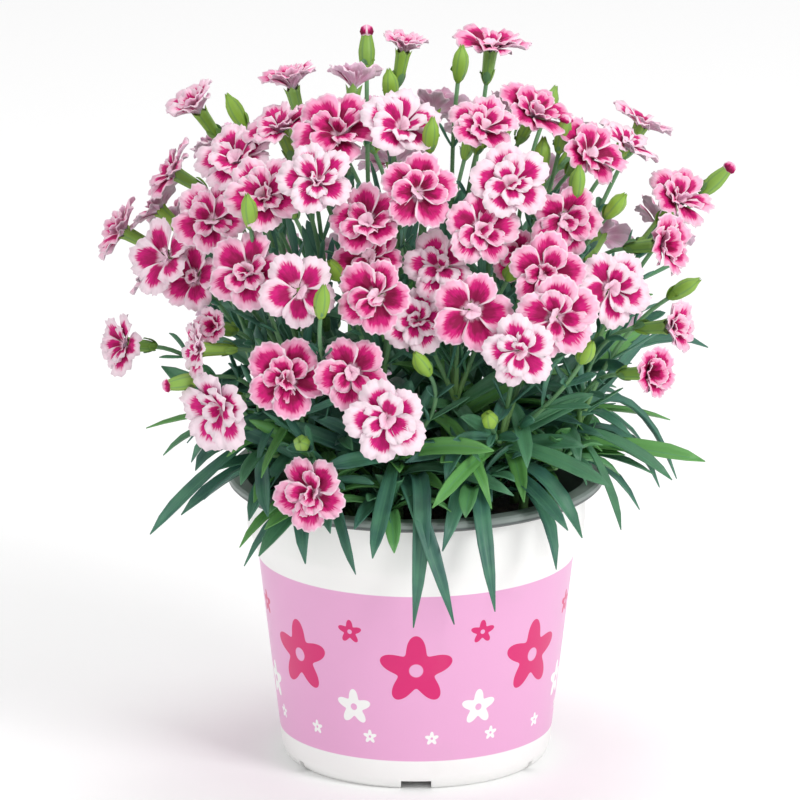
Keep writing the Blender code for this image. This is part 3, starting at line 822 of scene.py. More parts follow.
# %% Crumbs on the soil
# The three spans are a crumb's half length, half width and half height.
CRUMBS = 130
CRUMB_SEED = 5
CRUMB_SPANS = ((0.8, 2.4), (0.7, 1.6), (0.5, 1.0))
CRUMB_SPREAD = 0.97
CRUMB_KNOBS = 1.7
CRUMB_DENTS = 0.4
bpy.ops.object.select_all(action="DESELECT")
bpy.ops.mesh.primitive_ico_sphere_add(subdivisions=2, radius=1, location=(0, 0, 0))
crumb = bpy.context.object
for vertex in crumb.data.vertices:
    vertex.co *= 1 + CRUMB_DENTS * noise.noise(vertex.co * CRUMB_KNOBS)
crumb_shape = as_shape(crumb)
chance = random.Random(CRUMB_SEED)
crumbs = Pile()
for _ in range(CRUMBS):
    angle = chance.uniform(0, 2 * math.pi)
    radius = SOIL_RADIUS * CRUMB_SPREAD * math.sqrt(chance.random()) - 1.5
    size = Vector([chance.uniform(*span) for span in CRUMB_SPANS])
    lie = SOIL_MIDDLE + (SOIL_EDGE - SOIL_MIDDLE) * abs(radius) / SOIL_RADIUS
    spot = Vector((math.cos(angle) * radius, math.sin(angle) * radius, lie))

    def crumb_place(point, size=size, spot=spot, turn=chance.uniform(0, math.pi)):
        """Where a point of the crumb goes on this copy."""
        x, y, z = point * size
        turned = Vector((x * math.cos(turn) - y * math.sin(turn), x * math.sin(turn) + y * math.cos(turn), z))
        return spot + turned, (0.5, 0.5)

    crumbs.add(crumb_shape, crumb_place, 0.0)
ride(crumbs.build("soil_crumbs", [soil_finish]), "soil", "soil")
print("crumbs", CRUMBS)

# %% [markdown]
# ## How the plant is laid out
# Flowers fill an egg-shaped dome. A head's place is given as it is seen from the front, across and up, and
# the line of sight meets the dome there, on its near or far side. Each shoot leaves the soil at its own
# place, forks, and sends a stalk to each of its heads. The same table grew the solids of the frame, so each
# flower sits where its solid does, but each nods a little from it, as evenly facing flowers look made.

# %% Shoots and their heads
# A head: kind, across, rise, sink into the dome, width (minus on the far side), the way it faces (right,
# back, up), and its tone from 0 pale to 1 deep. A bud's last number is how much petal shows at its tip.
SHOOTS = {
    "left_low": ((-37, -4), (
        ("open", -102, 141, 4, 20, (-0.75, -0.6, 0.3), 0.35),
        ("half", -70, 147, 8, 14, (-0.5, -0.7, 0.5), 0.5),
        ("joined", -76, 139, 0, 18, (-0.8, -0.5, 0.2), 0.3),
        ("bud", -79, 128, 0, 8, (-0.9, -0.3, -0.1), 0.3),
    )),
    "left": ((-33, 8), (
        ("open", -103, 181, 0, 22, (-0.9, 0.0, 0.35), 0.55),
        ("open", -87, 171, 0, 24, (-0.55, -0.8, 0.3), 0.3),
        ("joined", -90, 189, 22, 22, (-0.8, 0.2, 0.6), 0.5),
        ("open", -85, 201, 0, 22, (-0.8, -0.2, 0.6), 0.6),
    )),
    "left_top": ((-26, -2), (
        ("half", -76, 223, 0, 20, (-0.6, 0.1, 0.9), 0.45),
        ("open", -62, 205, 0, 26, (-0.35, -0.7, 0.7), 0.4),
        ("bud", -62, 221, 8, 9, None, 0.0),
        ("joined", -70, 184, 0, 24, (-0.4, -0.9, 0.4), 0.6),
    )),
    "top_left": ((-18, 10), (
        ("half", -43, 231, 0, 20, (-0.4, 0.3, 1.0), 1.0),
        ("open", -47, 216, 0, 24, (-0.2, -0.4, 1.0), 0.55),
        ("open", -52, 192, -6, 25, (-0.2, -0.8, 0.6), 0.5),
    )),
    "top": ((-10, 0), (
        ("open", -27, 214, 0, 28, (-0.1, -0.6, 0.9), 0.8),
        ("open", -34, 197, -10, 24, (-0.2, -0.9, 0.5), 0.25),
        ("half", -21, 231, 0, 20, (-0.1, 0.4, 1.0), 0.35),
        ("bud", -9, 229, 0, 8, None, 0.0),
        ("bud", -17, 241, 6, 9, (0.0, 0.3, 1.0), 1.0),
    )),
    "middle_top": ((0, 8), (
        ("half", -4, 244, 0, 16, (0.1, 0.2, 1.0), 0.7),
        ("open", -5, 216, 0, 26, (0.1, -0.5, 1.0), 0.2),
        ("open", 1, 193, -6, 25, (0.0, -0.9, 0.5), 0.9),
    )),
    "right_top": ((10, 10), (
        ("open", 26, 245, 4, 25, (0.25, -0.2, 1.0), 0.8),
        ("bud", 15, 237, 2, 8, None, 0.0),
        ("open", 23, 216, -4, 23, (0.1, -0.6, 0.9), 0.6),
    )),
    "right_upper": ((16, 0), (
        ("open", 41, 221, 0, 25, (0.3, -0.4, 0.9), 0.9),
        ("open", 32, 196, -6, 25, (0.2, -0.8, 0.6), 0.3),
        ("bud", 43, 205, 16, 9, (0.1, 0.1, 1.0), 0.0),
    )),
    "right_back": ((25, 8), (
        ("open", 60, 207, 0, 24, (0.4, -0.5, 0.8), 0.85),
        ("open", 73, 211, 8, 22, (0.6, -0.1, 0.8), 0.35),
        ("joined", 79, 219, 26, 22, (0.6, 0.1, 1.0), 0.5),
        ("bud", 68, 188, -4, 9, None, 0.0),
    )),
    "right": ((34, 3), (
        ("open", 91, 192, 0, 23, (0.7, -0.4, 0.7), 0.7),
        ("half", 84, 175, 6, 22, (0.75, -0.5, 0.45), 0.85),
        ("bud", 103, 197, 4, 9, (0.7, 0.0, 0.7), 0.8),
    )),
    "right_middle": ((25, -8), (
        ("open", 51, 183, 7, 24, (0.3, -1.0, 0.3), 0.7),
        ("open", 44, 165, -1, 25, (0.25, -1.0, 0.25), 0.75),
        ("joined", 35, 171, 22, 18, (0.1, -1.0, 0.5), 0.8),
        ("open", 67, 160, 0, 25, (0.6, -0.8, 0.2), 0.3),
    )),
    "middle": ((12, -12), (
        ("open", 22, 180, 0, 24, (0.15, -0.9, 0.5), 0.6),
        ("open", 19, 152, 0, 25, (0.1, -1.0, 0.2), 0.7),
        ("joined", 0, 149, 10, 22, (0.0, -1.0, 0.4), 0.2),
        ("joined", 8, 168, 11, 23, (0.0, -1.0, 0.6), 0.3),
        ("bud", 33, 166, 14, 9, None, 0.0),
    )),
    "right_front": ((24, -22), (
        ("open", 48, 150, -9, 26, (0.25, -1.0, 0.1), 0.6),
        ("open", 35, 138, -8, 23, (0.1, -1.0, 0.1), 0.1),
        ("bud", 25, 115, 14, 9, (-0.1, -0.9, 0.6), 0.0),
    )),
    "right_low": ((37, -8), (
        ("half", 88, 147, 4, 18, (0.8, -0.4, 0.3), 0.6),
        ("bud", 92, 160, 16, 8, None, 0.0),
        ("half", 80, 131, 0, 18, (0.8, -0.45, 0.2), 1.0),
    )),
    "left_middle": ((-8, -14), (
        ("open", -17, 183, 0, 24, (-0.1, -0.9, 0.5), 0.75),
        ("open", -14, 157, -2, 24, (-0.1, -1.0, 0.2), 0.9),
        ("joined", -16, 171, 13, 22, (-0.1, -1.0, 0.6), 1.0),
        ("bud", -28, 166, 10, 9, None, 0.0),
    )),
    "left_upper": ((-23, -12), (
        ("open", -58, 166, 0, 26, (-0.4, -0.9, 0.3), 0.6),
        ("joined", -77, 164, 10, 22, (-0.6, -0.8, 0.3), 0.5),
        ("open", -40, 159, -2, 24, (-0.2, -1.0, 0.2), 0.3),
    )),
    "front": ((-6, -26), (
        ("open", -22, 131, 4, 23, (-0.1, -1.0, 0.1), 0.7),
        ("open", -10, 115, -4, 26, (-0.05, -1.0, 0.2), 0.15),
        ("bud", 2, 134, 10, 8, (-0.4, -0.6, 0.8), 0.0),
    )),
    "left_front": ((-22, -24), (
        ("open", -68, 118, 2, 27, (-0.45, -0.95, 0.15), 0.05),
        ("open", -44, 129, 4, 26, (-0.2, -1.0, 0.1), 0.8),
        ("open", -36, 90, 0, 24, (-0.5, -0.9, 0.1), 0.7),
    )),
    "back_left": ((-14, 24), (
        ("open", -48, 196, 0, -24, None, 0.5),
        ("joined", -66, 160, 0, -24, None, 0.3),
        ("joined", -84, 186, 4, -22, None, 0.7),
        ("bud", -30, 150, 0, -9, None, 0.0),
    )),
    "back": ((4, 30), (
        ("open", -8, 206, 0, -25, None, 0.3),
        ("joined", 6, 172, 3, -24, None, 0.8),
        ("joined", -28, 174, 2, -22, None, 0.2),
        ("joined", -10, 140, 4, -23, None, 0.6),
        ("bud", 22, 190, 0, -9, None, 0.0),
    )),
    "back_right": ((22, 22), (
        ("open", 46, 198, 0, -24, None, 0.7),
        ("joined", 68, 158, 0, -24, None, 0.3),
        ("joined", 38, 158, 0, -22, None, 0.5),
        ("joined", 86, 184, 4, -22, None, 0.85),
    )),
}
# Slighter heads that branch from the same forks, too many for solids of their own.
SIDE_HEADS = {
    "back": (
        ("joined", 20, 218, 3, -23, None, 0.6),
        ("joined", -30, 217, 3, -23, None, 0.4),
        ("joined", 6, 224, 24, -23, None, 0.3),
        ("joined", -20, 221, 20, -22, None, 0.8),
    ),
    "back_right": (
        ("joined", 65, 181, 8, -22, None, 0.2),
        ("joined", 26, 178, 12, -21, None, 0.9),
        ("joined", 34, 222, 22, -22, None, 0.7),
        ("joined", 58, 213, 16, -22, None, 0.3),
        ("bud", 46, 224, 14, -8, None, 0.0),
    ),
    "back_left": (
        ("joined", -50, 172, 8, -22, None, 0.7),
        ("joined", -68, 212, 6, -21, None, 0.3),
        ("joined", -44, 218, 20, -22, None, 0.6),
        ("bud", -56, 206, 10, -8, None, 0.0),
        ("joined", -92, 168, 14, -20, None, 0.5),
    ),
    "left_upper": (
        ("bud", -57, 186, -12, 9, (-0.1, -0.3, 1.0), 0.0),
    ),
    "left_front": (
        ("bud", -39, 107, 6, 8, (-0.1, -1.0, 0.4), 0.0),
    ),
    "left_middle": (
        ("bud", -32, 155, -9, 8, (0.1, -0.3, 1.0), 0.0),
    ),
    "right_upper": (
        ("bud", 55, 196, -4, 9, (0.1, -0.3, 1.0), 0.0),
        ("bud", 50, 212, 4, 8, (0.2, -0.2, 1.0), 0.3),
    ),
    "middle_top": (
        ("bud", 5, 212, -2, 8, (0.1, -0.2, 1.0), 0.0),
    ),
    "right_front": (
        ("bud", 58, 138, -2, 8, (0.3, -0.7, 0.8), 0.0),
    ),
}
print("heads", sum(len(heads) for _, heads in SHOOTS.values()), "and", sum(map(len, SIDE_HEADS.values())))

# %% Heads on the dome
DOME_MIDDLE = 140.0
DOME = Vector((108.0, 92.0, 112.0))
LIFT = 0.35


def on_dome(across, rise, sink, far):
    """Where the line of sight meets the dome, on its near or far side, and the way out of it there."""
    start = along_view(across, rise, 0)
    way = along_view(across, rise, 1) - start
    scale = Vector((1 / DOME.x, 1 / DOME.y, 1 / DOME.z))
    centre = Vector((0, 0, DOME_MIDDLE))
    offset = (start - centre) * scale
    slope = way * scale
    square = slope.dot(slope)
    half = offset.dot(slope)
    rest = half * half - square * (offset.dot(offset) - 1)
    reach = math.sqrt(max(rest, 0.0)) / square
    depth = -half / square + (reach if far else -reach)
    point = along_view(across, rise, depth + (-sink if far else sink))
    out = (point - centre) * scale * scale
    out.normalize()
    out.z += LIFT
    return point, out.normalized()


print("the nearest point of the dome", [round(part) for part in on_dome(0, DOME_MIDDLE, 0, False)[0]])

# %% Heads, stems and forks
CALYX_LENGTH = 12.0
NECK_LENGTH = 3.0
BUD_LENGTH = 13.0
FORK_SHARE = 0.5
STEM_RISE = 0.5
NOD_SEED = 3
NOD = 0.24


class Head:
    """One flower or bud: where it is, where it faces, and where its stalk ends."""

    def __init__(self, kind, across, rise, sink, width, facing, tone, nod=Vector()):
        self.kind = kind
        self.tone = tone
        self.radius = abs(width) / 2
        self.point, out = on_dome(across, rise, sink, width < 0)
        self.facing = ((Vector(facing).normalized() if facing else out) + nod).normalized()
        if kind == "bud":
            self.mouth = self.point + self.facing * (BUD_LENGTH / 2)
            self.calyx_foot = self.point - self.facing * (BUD_LENGTH / 2)
        else:
            self.mouth = self.point - self.facing * NECK_LENGTH
            self.calyx_foot = self.mouth - self.facing * CALYX_LENGTH


def plan_shoot(base, heads, side_heads, chance):
    """The main stem's route and the heads of one shoot; the main heads alone decide where it forks."""
    made = [Head(*head) for head in heads]
    ground = SOIL_MIDDLE + (SOIL_EDGE - SOIL_MIDDLE) * math.hypot(*base) / SOIL_RADIUS
    start = Vector((base[0], base[1], ground + GAP))
    centre = sum((head.calyx_foot for head in made), Vector()) / len(made)
    fork = start.lerp(centre, FORK_SHARE)
    made = []
    for head in heads + side_heads:
        nod = Vector([chance.uniform(-NOD, NOD) for _ in range(3)])
        made.append(Head(*head, nod if head[0] != "bud" else Vector()))
    return (start, start + UP * ((fork - start).length * STEM_RISE), fork), made


chance = random.Random(NOD_SEED)
plans = {name: plan_shoot(*shoot, SIDE_HEADS.get(name, ()), chance) for name, shoot in SHOOTS.items()}
print("shoots", len(plans))

# %% [markdown]
# ## Petals
# A petal of a dianthus is a fan with a fringe of fine teeth, a ruffled edge and a narrow foot that goes down
# into the calyx. It is a flat grid at first, and each copy is bent: an arc lifts it out of the calyx and lays
# it over, waves ruffle its margin, and one side lies over its neighbour. Full flowers have a second, shorter
# ring that stands up. Painting the teeth as transparency would be lighter, but they would lose their edge.

# %% Petal grid
TEETH = 9
PETAL_ROWS = 4
bpy.ops.object.select_all(action="DESELECT")
bpy.ops.mesh.primitive_grid_add(x_subdivisions=2 * TEETH, y_subdivisions=PETAL_ROWS, size=2)
petal_shape = as_shape(bpy.context.object)
print("petal faces", len(petal_shape[1]))

# %% Directions and arcs
NEARLY_UPRIGHT = 0.05
NO_BEND = 0.001


def side_frame(way):
    """Two directions across way, the first of them level."""
    first = way.cross(UP)
    if first.length < NEARLY_UPRIGHT:
        first = way.cross(Vector((1, 0, 0)))
    first.normalize()
    return first, first.cross(way).normalized()


def across_way(way, turn):
    """The direction across way at turn round it."""
    first, second = side_frame(way)
    return first * math.cos(turn) + second * math.sin(turn)


def arc(share, rise, fall):
    """How far out and up a strip of length 1 has come at share, when its slope turns from rise to fall."""
    change = fall - rise
    if abs(change) < NO_BEND:
        return share * math.cos(rise), share * math.sin(rise)
    end = rise + change * share
    return (math.sin(end) - math.sin(rise)) / change, (math.cos(rise) - math.cos(end)) / change


print("half way along, an arc has come", [round(part, 2) for part in arc(0.5, 0.7, -0.2)], "out and up")

# %% Bending a petal
# A petal's outline is cut back at its sides, its teeth deepen only near the margin, and its narrow claw
# widens to the full fan at CLAW_LENGTH. A long and a short wave ruffle it, one side rises over the next
# petal, and its middle is cupped. Each wave is its height, how often it goes up and down, and its start.
PETAL_FOOT = 3.8
SIDE_CUT = 0.34
SIDE_CURVE = 2.3
TOOTH_PITCH = 2.1
SHORT_TOOTH = 0.35
TOOTH_CURVE = 7
CLAW_WIDTH = 0.28
CLAW_LENGTH = 0.62
CLAW_CURVE = 0.8
LONG_WAVE = (0.055, 8.5, 1.0)
SHORT_WAVE = (0.03, 19.0, 2.3)
OVERLAP = 0.09
CUPPING = 0.03


def ruffle(wave, side, phase):
    """The height of one wave at side, for a petal with its own phase."""
    height, pitch, start = wave
    return height * math.sin(pitch * side + start * phase)


def petal_place(head, turn, reach, spread, rise, fall, phase, fringe):
    """Where each point of the petal grid goes on one petal of a head; fringe is how deep its teeth are."""
    across, over = side_frame(head.facing)
    out_way = across * math.cos(turn) + over * math.sin(turn)
    side_way = over * math.cos(turn) - across * math.sin(turn)
    foot = head.point - head.facing * PETAL_FOOT

    def place(point):
        """Where a point of the grid goes, and its spot on the map."""
        side = point.x
        along = (point.y + 1) / 2
        column = round((side + 1) * TEETH)
        cut = SHORT_TOOTH + math.sin(column * TOOTH_PITCH + phase) ** 2 if column % 2 else 0.0
        tooth = fringe * cut * along ** TOOTH_CURVE
        share = along * (1 - SIDE_CUT * abs(side) ** SIDE_CURVE) * (1 - tooth)
        opened = CLAW_WIDTH + (1 - CLAW_WIDTH) * min(along / CLAW_LENGTH, 1.0) ** CLAW_CURVE
        angle = side * spread * opened
        out, up = arc(share, rise, fall)
        slope = rise + (fall - rise) * share
        wave = ruffle(LONG_WAVE, side, phase) + ruffle(SHORT_WAVE, side, phase)
        lift = wave * along ** 2 + OVERLAP * side * along + CUPPING * (1 - side * side) * along
        flat = out * math.cos(angle) - math.sin(slope) * lift
        high = up + math.cos(slope) * lift
        where = foot + out_way * (reach * flat) + side_way * (reach * share * math.sin(angle))
        return where + head.facing * (reach * high), (side / 2 + 0.5, along)

    return place


print("teeth on a petal's margin", TEETH)

# %% A ring of petals
# What makes each petal a little different, as the span of a random draw: its turn, length, spread, fall in
# degrees, ruffle and tone.
TURN_PLAY = (-0.07, 0.07)
REACH_PLAY = (0.95, 1.05)
SPREAD_PLAY = (0.92, 1.06)
FALL_PLAY = (-9, 9)
ANY_TURN = (0, 6.28)
TONE_PLAY = (-0.07, 0.07)
FRINGE = 0.045
SMALL_FRINGE = 0.02


def add_whorl(pile, head, count, turn, reach, spread, rise, fall, chance, fringe=FRINGE):
    """A ring of count petals that spread, rise from the calyx and fall at the margin by so many degrees."""
    for index in range(count):
        place = petal_place(
            head, turn + 2 * math.pi * index / count + chance.uniform(*TURN_PLAY),
            reach * chance.uniform(*REACH_PLAY), math.radians(spread * chance.uniform(*SPREAD_PLAY)),
            math.radians(rise), math.radians(fall + chance.uniform(*FALL_PLAY)), chance.uniform(*ANY_TURN),
            fringe,
        )
        pile.add(petal_shape, place, min(max(head.tone + chance.uniform(*TONE_PLAY), 0.0), 1.0))


print("a ring turns each petal by up to", TURN_PLAY[1], "radians")

# %% Opening a flower
# An open flower has five flat petals. Most have some shorter ones that stand up between them, and a few
# steep ones in the middle, where one to three pale curls close the throat. The choices say how many. Each
# bend is a petal's spread across, its rise out of the calyx and its fall at the margin, in degrees, or only
# the first two where the fall is drawn. The curls' bend is in radians.
FLOWER_SEED = 12
FULL_REACH = 1.2
RING_PETALS = 5
RING_REACH = 1.02
RING_BEND = (40, 42, -9)
CUP_REACH = 1.12
CUP_BEND = (40, 74, 0)
CUP_INNER_REACH = 0.85
CUP_INNER_BEND = (34, 82, 34)
CUP_INNER_TURN = 0.7
CUP_INNER_FRINGE = 0.03
INNER_CHOICES = (0, 3, 4, 4, 5)
INNER_TURN_PLAY = (-0.35, 0.35)
INNER_REACH = (0.66, 0.86)
INNER_BEND = (31, 60)
INNER_FALL = (-6, 26)
STEEP_CHOICES = (0, 0, 1, 2)
STEEP_REACH = (0.4, 0.6)
STEEP_BEND = (38, 80)
STEEP_FALL = (30, 80)
CURL_CHOICES = (1, 1, 2, 3)
CURL_REACH = 0.36
CURL_BEND = (0.9, 1.5, 0.6)
CURL_TONE = 0.2
CURL_MAP_LENGTH = 0.12
GOLDEN_TURN = 2.4


def add_flower(pile, head, chance):
    """The petals of one head: flat when open, a cup when half open, with a fuller middle on most."""
    turn = chance.uniform(0, 2 * math.pi)
    reach = head.radius * FULL_REACH
    if head.kind == "half":
        add_whorl(pile, head, RING_PETALS, turn, reach * CUP_REACH, *CUP_BEND, chance)
        inner_turn = turn + CUP_INNER_TURN
        size = reach * CUP_INNER_REACH
        add_whorl(pile, head, RING_PETALS - 1, inner_turn, size, *CUP_INNER_BEND, chance, CUP_INNER_FRINGE)
        return
    add_whorl(pile, head, RING_PETALS, turn, reach * RING_REACH, *RING_BEND, chance)
    for index in range(chance.choice(INNER_CHOICES)):
        gap_turn = math.radians(360 / RING_PETALS * (index + 0.5))
        inner_turn = turn + gap_turn + chance.uniform(*INNER_TURN_PLAY)
        size = reach * chance.uniform(*INNER_REACH)
        fall = chance.uniform(*INNER_FALL)
        add_whorl(pile, head, 1, inner_turn, size, *INNER_BEND, fall, chance, SMALL_FRINGE)
    for _ in range(chance.choice(STEEP_CHOICES)):
        size = reach * chance.uniform(*STEEP_REACH)
        steep_turn = chance.uniform(*ANY_TURN)
        fall = chance.uniform(*STEEP_FALL)
        add_whorl(pile, head, 1, steep_turn, size, *STEEP_BEND, fall, chance, SMALL_FRINGE)
    for index in range(chance.choice(CURL_CHOICES)):
        curl_turn = turn + GOLDEN_TURN * index
        place = petal_place(head, curl_turn, reach * CURL_REACH, *CURL_BEND, 1.0 + index, 0.0)

        def throat_place(point, place=place):
            """A curl's place, with the throat's part of the map."""
            where, spot = place(point)
            return where, (0.5, spot[1] * CURL_MAP_LENGTH)

        pile.add(petal_shape, throat_place, CURL_TONE)


print("most petals on a flower", RING_PETALS + max(INNER_CHOICES) + max(STEEP_CHOICES))

# %% Flowers
PETAL_THICKNESS = 0.22
petal_finishes = [petal_finish, underside_finish]
chance = random.Random(FLOWER_SEED)
flowers = 0
for name, (route, heads) in plans.items():
    joined = Pile()
    for head in heads:
        if head.kind == "open":
            flowers += 1
            petals = Pile()
            add_flower(petals, head, chance)
            piece = petals.build(f"petals_{flowers:02d}", petal_finishes, PETAL_THICKNESS)
            ride(piece, "petals", f"flower_{flowers:02d}")
        elif head.kind in ("joined", "half"):
            add_flower(joined, head, chance)
    if joined.points:
        piece = joined.build("petals_" + name, petal_finishes, PETAL_THICKNESS)
        ride(piece, "petals", "shoot_" + name)
print("flowers", flowers)

# %% [markdown]
# ## Stems, calyces and buds
# A stem is a waxy rod with swollen joints where its leaves sit. A calyx is a narrow ribbed tube with five
# teeth that hold the petals, with small scales at its foot, and a bud is the same tube still closed. All are
# copies of one modelled tube, a disc extruded ring by ring, that are laid along a route.

# %% Tube shape
TUBE_SIDES = 10
TUBE_RINGS = 12
bpy.ops.object.select_all(action="DESELECT")
bpy.ops.mesh.primitive_circle_add(vertices=TUBE_SIDES, radius=1, fill_type="NGON", location=(0, 0, 0))
tube = bpy.context.object
bpy.ops.object.mode_set(mode="EDIT")
for _ in range(TUBE_RINGS):
    bpy.ops.mesh.extrude_region_move(TRANSFORM_OT_translate={"value": (0, 0, 1 / TUBE_RINGS)})
bpy.ops.mesh.select_all(action="SELECT")
bpy.ops.mesh.normals_make_consistent(inside=False)
bpy.ops.object.mode_set(mode="OBJECT")
tube_shape = as_shape(tube)
print("tube faces", len(tube_shape[1]))

# %% Laying a tube along a route
NEARLY_STRAIGHT = 0.5
LAST_RING = 0.99
TOOTH_FLARE = 0.25


def curve_point(route, share):
    """A point on the quadratic curve through the ends of route that leans towards its middle point."""
    start, middle, end = route
    return start.lerp(middle, share).lerp(middle.lerp(end, share), share)


def curve_way(route, share):
    """The direction of the curve there."""
    start, middle, end = route
    return ((middle - start).lerp(end - middle, share)).normalized()


def between(stations, share):
    """The value at share of a list of (share, value) pairs, straight between them."""
    for (low, first), (high, second) in zip(stations, stations[1:]):
        if share <= high:
            return first + (second - first) * (share - low) / max(high - low, 1e-6)
    return stations[-1][1]


def tube_place(route, girth, ribs=0.0, teeth=0.0):
    """Where each point of the tube goes: girth is its radius along the route, ribs and teeth stand out."""
    plane = (route[2] - route[0]).cross(route[1] - route[0])
    curved = plane.length > NEARLY_STRAIGHT
    hint = plane.normalized() if curved else side_frame(curve_way(route, 0.5))[0]

    def place(point):
        """Where a point of the tube goes, and its spot on the map."""
        share = min(max(point.z, 0.0), 1.0)
        way = curve_way(route, share)
        first = (hint - way * hint.dot(way)).normalized()
        second = way.cross(first)
        around = abs(math.atan2(point.x, point.y)) / math.pi
        raised = round(around * TUBE_SIDES / 2) % 2
        radius = between(girth, share) * (1 + ribs * (1 if raised else -1))
        out = first * point.x + second * point.y
        where = curve_point(route, share) + out * radius
        if share > LAST_RING and raised:
            where = where + (way + out * TOOTH_FLARE) * teeth
        return where, (around, share)

    return place


def straight(start, end):
    """A route with no bend."""
    return start, (start + end) / 2, end


print("the middle of a straight route", tuple(curve_point(straight(Vector(), UP), 0.5)))

# %% Leaf blade
# The outline's pairs are how far along the blade, and how wide it is there as a share of its full width.
BLADE_COLUMNS = 4
BLADE_ROWS = 9
BLADE = ((0.0, 0.46), (0.11, 0.6), (0.33, 0.84), (0.55, 0.98), (0.77, 0.95), (0.89, 0.64), (1.0, 0.04))
BLADE_FOLD = 0.28
CHANNEL_CURVE = 1.5
bpy.ops.object.select_all(action="DESELECT")
bpy.ops.mesh.primitive_grid_add(x_subdivisions=BLADE_COLUMNS, y_subdivisions=BLADE_ROWS, size=2)
blade_shape = as_shape(bpy.context.object)


def blade_place(route, side, width, fold=BLADE_FOLD, twist=0.0):
    """Where each point of the blade goes: a channelled, pointed leaf along its route."""

    def place(point):
        """Where a point of the grid goes, and its spot on the map."""
        share = (point.y + 1) / 2
        way = curve_way(route, share)
        across = (side - way * side.dot(way)).normalized()
        over = way.cross(across)
        if over.z < 0:
            over = -over
        turn = twist * share
        lean = across * math.cos(turn) + over * math.sin(turn)
        half = width * between(BLADE, share) / 2
        lift = abs(point.x) ** CHANNEL_CURVE * half * fold * 2
        where = curve_point(route, share) + lean * (point.x * half) + over * lift
        return where, (point.x / 2 + 0.5, share)

    return place


print("blade faces", len(blade_shape[1]))

# %% Girths of stems, calyces and buds
# Each pair is how far along the piece, and its radius there. A stem's radii are shares of STEM_RADIUS.
STEM_RADIUS = 1.5
STALK_RADIUS = 0.75
JOINTS = (
    (0.0, 1.15), (0.28, 1.0), (0.3, 1.35), (0.33, 1.0),
    (0.58, 0.98), (0.61, 1.3), (0.64, 0.95), (1.0, 0.95),
)
CALYX_GIRTH = ((0.0, 0.9), (0.08, 1.5), (0.25, 2.0), (0.6, 2.25), (0.9, 2.45), (1.0, 2.6))
BUD_GIRTH = ((0.0, 0.9), (0.08, 1.7), (0.3, 2.6), (0.55, 2.9), (0.75, 2.5), (0.9, 1.5), (1.0, 0.35))
OPENING_BUD_GIRTH = BUD_GIRTH[:-2] + ((0.9, 2.1), (1.0, 1.5))
BUD_TIP_GIRTH = ((0.0, 1.3), (0.5, 2.3), (0.85, 1.8), (1.0, 0.4))
STALK_GIRTH = ((0.0, 1.0), (0.5, STALK_RADIUS), (1.0, STALK_RADIUS))
print("a bud is", 2 * max(radius for _, radius in BUD_GIRTH), "mm thick")

# %% Scales under a flower
SCALES = 4
SCALE_LENGTH = (5.0, 6.5)
SCALE_WIDTH = 2.8
SCALE_FOLD = 0.2
SCALE_LEAN = 1.9
SCALE_YOUTH = (0.5, 0.9)


def add_scales(pile, head, chance):
    """Small scales round the foot of a calyx."""
    turn = chance.uniform(0, math.pi)
    for index in range(SCALES):
        out = across_way(head.facing, turn + 2 * math.pi * index / SCALES)
        foot = head.calyx_foot + out * 0.6 - head.facing * 0.5
        tip = foot + head.facing * chance.uniform(*SCALE_LENGTH) + out * SCALE_LEAN
        route = (foot, foot + head.facing * 2.5 + out * SCALE_LEAN, tip)
        place = blade_place(route, head.facing.cross(out), SCALE_WIDTH, SCALE_FOLD)
        pile.add(blade_shape, place, chance.uniform(*SCALE_YOUTH))


print("scales under a flower", SCALES)

# %% Stalks, calyces and buds
# A tube's last two numbers are how far its ribs and its teeth stand out. Pairs of narrow leaves sit on a
# stalk at these shares of it, and a short stalk has fewer.
STALK_SEED = 8
STALK_BEND = 0.45
STALK_YOUTH = 0.5
BUD_RIBS = (0.06, 0.9)
BUD_YOUTH = (0.8, 1.0)
CALYX_RIBS = (0.04, 1.8)
CALYX_YOUTH = (0.7, 0.95)
BUD_TIP_RIBS = 0.12
BUD_TIP_TONE = 0.9
LONG_STALK = 32
LONG_STALK_PAIRS = (0.16, 0.4, 0.68)
SHORT_STALK_PAIRS = (0.3, 0.6)
NARROW_LENGTH = (12, 34)
NARROW_WIDTH = (2.2, 3.6)
NARROW_DROOP = (0, 0.2)
NARROW_YOUTH = (0.0, 0.6)


def add_calyx(pile, petals, head, chance):
    """The calyx of a flower, or a whole bud with the petals that show at its tip."""
    route = straight(head.calyx_foot, head.mouth)
    if head.kind != "bud":
        pile.add(tube_shape, tube_place(route, CALYX_GIRTH, *CALYX_RIBS), chance.uniform(*CALYX_YOUTH))
        return
    if head.tone:
        tip_end = head.mouth + head.facing * (1 + 2.5 * head.tone)
        tip = straight(head.mouth - head.facing * 1.5, tip_end)
        petals.add(tube_shape, tube_place(tip, BUD_TIP_GIRTH, BUD_TIP_RIBS), BUD_TIP_TONE)
    girth = OPENING_BUD_GIRTH if head.tone else BUD_GIRTH
    pile.add(tube_shape, tube_place(route, girth, *BUD_RIBS), chance.uniform(*BUD_YOUTH))


